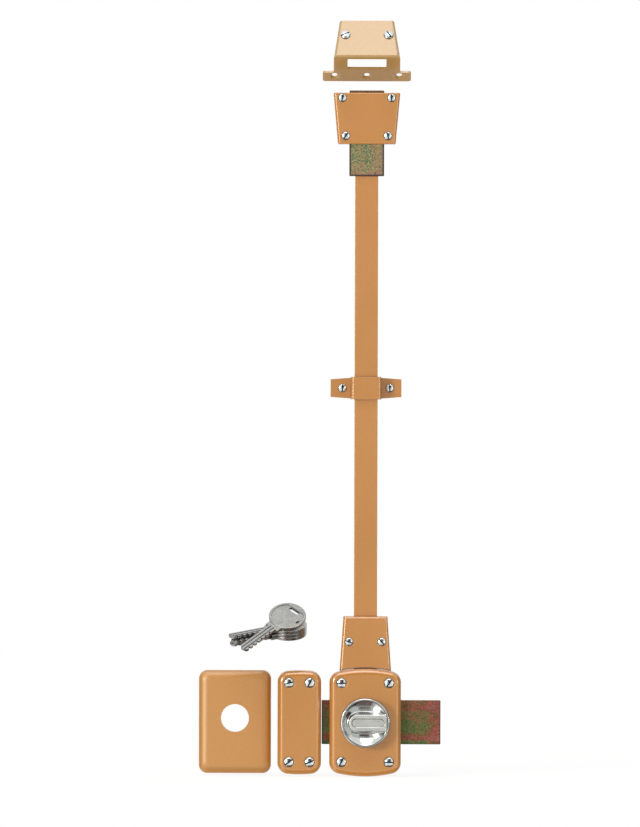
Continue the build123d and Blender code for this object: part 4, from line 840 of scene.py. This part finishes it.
def knob():
    """The knob as rings round its axis: its face, its rim, its side with the grub hole, its back.

    A point of a ring is (r cos a, -depth, r sin a). On the side the radius loses the grub hole's
    depth within the hole's radius of its middle, straight below the axis. Its back has the bore.
    """
    angle = np.linspace(0.0, TURN, KNOB_COLUMNS, endpoint=False)
    round_from = KNOB_R - RIM_ROUND
    radii = np.concatenate([
        [0.0], np.linspace(MIDDLE_R, round_from, FACE_ROWS),
        round_from + RIM_ROUND * np.sin(np.linspace(0.0, math.pi / 2, RIM_ROWS)[1:]),
    ])
    face = np.stack([np.broadcast_to(radii[:, None], (len(radii), KNOB_COLUMNS)),
                     knob_face(radii[:, None], angle[None, :])], -1)
    depth = np.linspace(KNOB_FRONT - RIM_ROUND, KNOB_BACK + BACK_ROUND, SIDE_ROWS)[1:, None]
    below = (angle[None, :] - 1.5 * math.pi) * KNOB_R
    from_hole = np.hypot(below, depth - (KNOB_BACK + BORE_DEPTH / 2))
    side_r = KNOB_R - GRUB_SINK * ease((GRUB_R - from_hole) / GRUB_WALL + 0.5)
    side = np.stack([side_r, np.broadcast_to(depth, side_r.shape)], -1)
    bend = np.linspace(0.0, math.pi / 2, BACK_ROWS)[1:]
    back = [(KNOB_R - BACK_ROUND + BACK_ROUND * math.cos(a),
             KNOB_BACK + BACK_ROUND - BACK_ROUND * math.sin(a)) for a in bend]
    back += [(BORE_R, KNOB_BACK), (BORE_R, KNOB_BACK + BORE_DEPTH), (0.0, KNOB_BACK + BORE_DEPTH)]
    back = np.repeat(np.array(back)[:, None, :], KNOB_COLUMNS, 1)
    rings = np.concatenate([face, side, back])
    points = np.stack([rings[..., 0] * np.cos(angle), -rings[..., 1], rings[..., 0] * np.sin(angle)],
                      -1)
    faces = ring_quads(len(rings), KNOB_COLUMNS)
    made = solid_piece("turn_knob", points.reshape(-1, 3) * MM, faces, KNOB_CHROME, "drive")
    knob_marks(made.data)
    return made


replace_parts(knob(), "knob")

# Studio

EVEN_ABOVE, EVEN_BELOW, EVEN_EDGE = 0.27, 0.86, 0.15


def soft_light(name, elevation, azimuth, half_angle, share, colour=(1.0, 1.0, 1.0)):
    """Far round soft light, by its direction in degrees and its share of a front card's light."""
    up, side = math.radians(elevation), math.radians(azimuth)
    towards = Vector((math.sin(side) * math.cos(up), -math.cos(side) * math.cos(up), math.sin(up)))
    data = bpy.data.lights.new(name, "SUN")
    data.angle = math.radians(2 * half_angle)
    data.color = colour
    data.energy = share * math.pi / abs(towards.y)
    made = bpy.data.objects.new(name, data)
    bpy.context.collection.objects.link(made)
    made.rotation_mode = "QUATERNION"
    made.rotation_quaternion = towards.to_track_quat("Z", "Y")


soft_light("overhead", elevation=62.0, azimuth=-8.0, half_angle=20.0, share=0.125)
soft_light("front_left", elevation=9.0, azimuth=-37.0, half_angle=9.0, share=0.31,
           colour=(1.0, 0.95, 0.80))
soft_light("front_right", elevation=4.0, azimuth=50.0, half_angle=4.5, share=0.040,
           colour=(1.0, 0.88, 0.84))


# Mirrored room: spans of the direction's x, y or z over which each part of it fades in
SIDES, AHEAD, LOW_BACK = (0.70, 0.88), (-0.90, -0.985), (-0.45, -0.60)
FRONT_LEFT, FRONT_RIGHT = (-0.28, -0.18), (0.42, 0.30)
FRONT_LOW, FRONT_HIGH, FRONT_NEAR = (0.07, 0.14), (0.62, 0.52), (-0.30, -0.42)
BELOW_LOW, BELOW_NEAR = (-0.50, -0.60), (0.20, 0.08)
DARK_PATCH, PATCH_RADIUS = (-0.29, -0.40, 0.87), (0.13, 0.08)
WHITE, AHEAD_GREY, SIDE_GREY = (1.0, 1.0, 1.0, 1.0), (0.50, 0.52, 0.51, 1.0), (0.13, 0.16, 0.17, 1.0)
WARM_LOW, PATCH_BLACK = (0.64, 0.53, 0.45, 1.0), (0.05, 0.07, 0.08, 1.0)
FRONT_STOPS = [(0.36, (0.15, 0.12, 0.11)), (0.52, (0.17, 0.065, 0.06)), (0.60, (0.03, 0.035, 0.04))]
LOW_STOPS = [(0.24, (0.9, 0.9, 0.88)), (0.36, (0.15, 0.09, 0.08)), (0.62, (0.15, 0.09, 0.08)),
             (0.70, (0.02, 0.02, 0.02))]


def world_light():
    """What metal mirrors: white all round, grey straight ahead, dark at the sides.

    Above the grey is a maroon patch, black at its right, and a small dark patch is overhead.
    Low down in front it is white at the left, maroon in the middle and black at the right; low
    down behind it is pale and warm. Camera and transmission rays see plain white, and matt surfaces
    get a lower light, more from below.
    """
    world = bpy.data.worlds.new("studio")
    world.use_nodes = True
    tree = world.node_tree
    tree.nodes.clear()
    path = put(tree, "ShaderNodeLightPath").outputs
    axes = put(tree, "ShaderNodeSeparateXYZ")
    tree.links.new(put(tree, "ShaderNodeTexCoord").outputs["Generated"], axes.inputs[0])
    x, y, z = axes.outputs["X"], axes.outputs["Y"], axes.outputs["Z"]
    aside = span(tree, sums(tree, "ABSOLUTE", x), *SIDES)
    above = span(tree, x, *FRONT_LEFT)
    for axis, limits in ((x, FRONT_RIGHT), (y, FRONT_NEAR), (z, FRONT_LOW), (z, FRONT_HIGH)):
        above = sums(tree, "MULTIPLY", above, span(tree, axis, *limits))
    below = sums(tree, "MULTIPLY", span(tree, z, *BELOW_LOW), span(tree, y, *BELOW_NEAR))
    to_patch = put(tree, "ShaderNodeVectorMath", operation="DISTANCE")
    tree.links.new(axes.inputs[0].links[0].from_socket, to_patch.inputs[0])
    to_patch.inputs[1].default_value = DARK_PATCH
    patch = span(tree, to_patch.outputs["Value"], *PATCH_RADIUS)
    across = sums(tree, "MULTIPLY_ADD", x, 0.5, 0.5)
    mirrored = WHITE
    for share, colour in (
        (span(tree, y, *AHEAD), AHEAD_GREY), (aside, SIDE_GREY), (span(tree, z, *LOW_BACK), WARM_LOW),
        (above, ramp(tree, across, FRONT_STOPS)), (patch, PATCH_BLACK),
        (below, ramp(tree, across, LOW_STOPS)),
    ):
        mirrored = blend_colours(tree, share, mirrored, colour)
    even = span(tree, z, EVEN_EDGE, -EVEN_EDGE, EVEN_ABOVE, EVEN_BELOW)
    seen = sums(tree, "MAXIMUM", path["Is Camera Ray"], path["Is Transmission Ray"])
    colour = blend_colours(tree, path["Is Glossy Ray"], even, mirrored)
    colour = blend_colours(tree, seen, colour, WHITE)
    light = put(tree, "ShaderNodeBackground")
    feed(tree, light.inputs["Color"], colour)
    tree.links.new(light.outputs[0], put(tree, "ShaderNodeOutputWorld").inputs[0])
    bpy.context.scene.world = world


world_light()

FLOOR_REACH = 4.0
FLOOR_GAP = 0.5 * MM
FLOOR_COLOUR, FLOOR_ROUGHNESS = 0.25, 0.9
FLOOR_LIFT = 0.86


def floor():
    """Plain pale floor under the part: matt, lifted to near white where the camera sees it."""
    low = cad_box[0].z - FLOOR_GAP
    mesh = bpy.data.meshes.new("floor")
    corners = [(x * FLOOR_REACH, y * FLOOR_REACH, low)
               for x, y in ((-1, -1), (1, -1), (1, 1), (-1, 1))]
    mesh.from_pydata(corners, [], [(0, 1, 2, 3)])
    made = bpy.data.objects.new("floor", mesh)
    bpy.context.collection.objects.link(made)
    paint, tree, shader = finish_of("pale_floor", 0.0, FLOOR_ROUGHNESS, Specular_IOR_Level=0.0)
    shader.inputs["Base Color"].default_value = (FLOOR_COLOUR, FLOOR_COLOUR, FLOOR_COLOUR, 1.0)
    lift = put(tree, "ShaderNodeEmission")
    feed(tree, lift.inputs["Strength"],
         sums(tree, "MULTIPLY", put(tree, "ShaderNodeLightPath").outputs["Is Camera Ray"], FLOOR_LIFT))
    both = put(tree, "ShaderNodeAddShader")
    tree.links.new(shader.outputs[0], both.inputs[0])
    tree.links.new(lift.outputs[0], both.inputs[1])
    tree.links.new(both.outputs[0], tree.nodes["Material Output"].inputs[0])
    mesh.materials.append(paint)
    made.visible_glossy = False
    made.visible_diffuse = False


floor()

# Camera

CAMERA_ROLL = -0.165
CAMERA_PLACE = (-0.0397, -8.0, 0.2663)
CAMERA_LENS = 403.0
CAMERA_SENSOR = 36.0

camera_data = bpy.data.cameras.new("camera")
camera_data.lens = CAMERA_LENS
camera_data.sensor_width = CAMERA_SENSOR
camera = bpy.data.objects.new("camera", camera_data)
bpy.context.collection.objects.link(camera)
camera.location = CAMERA_PLACE
camera.rotation_euler = (math.radians(90.0), math.radians(CAMERA_ROLL), 0.0)
bpy.context.scene.camera = camera
bpy.context.scene.view_settings.view_transform = "Standard"
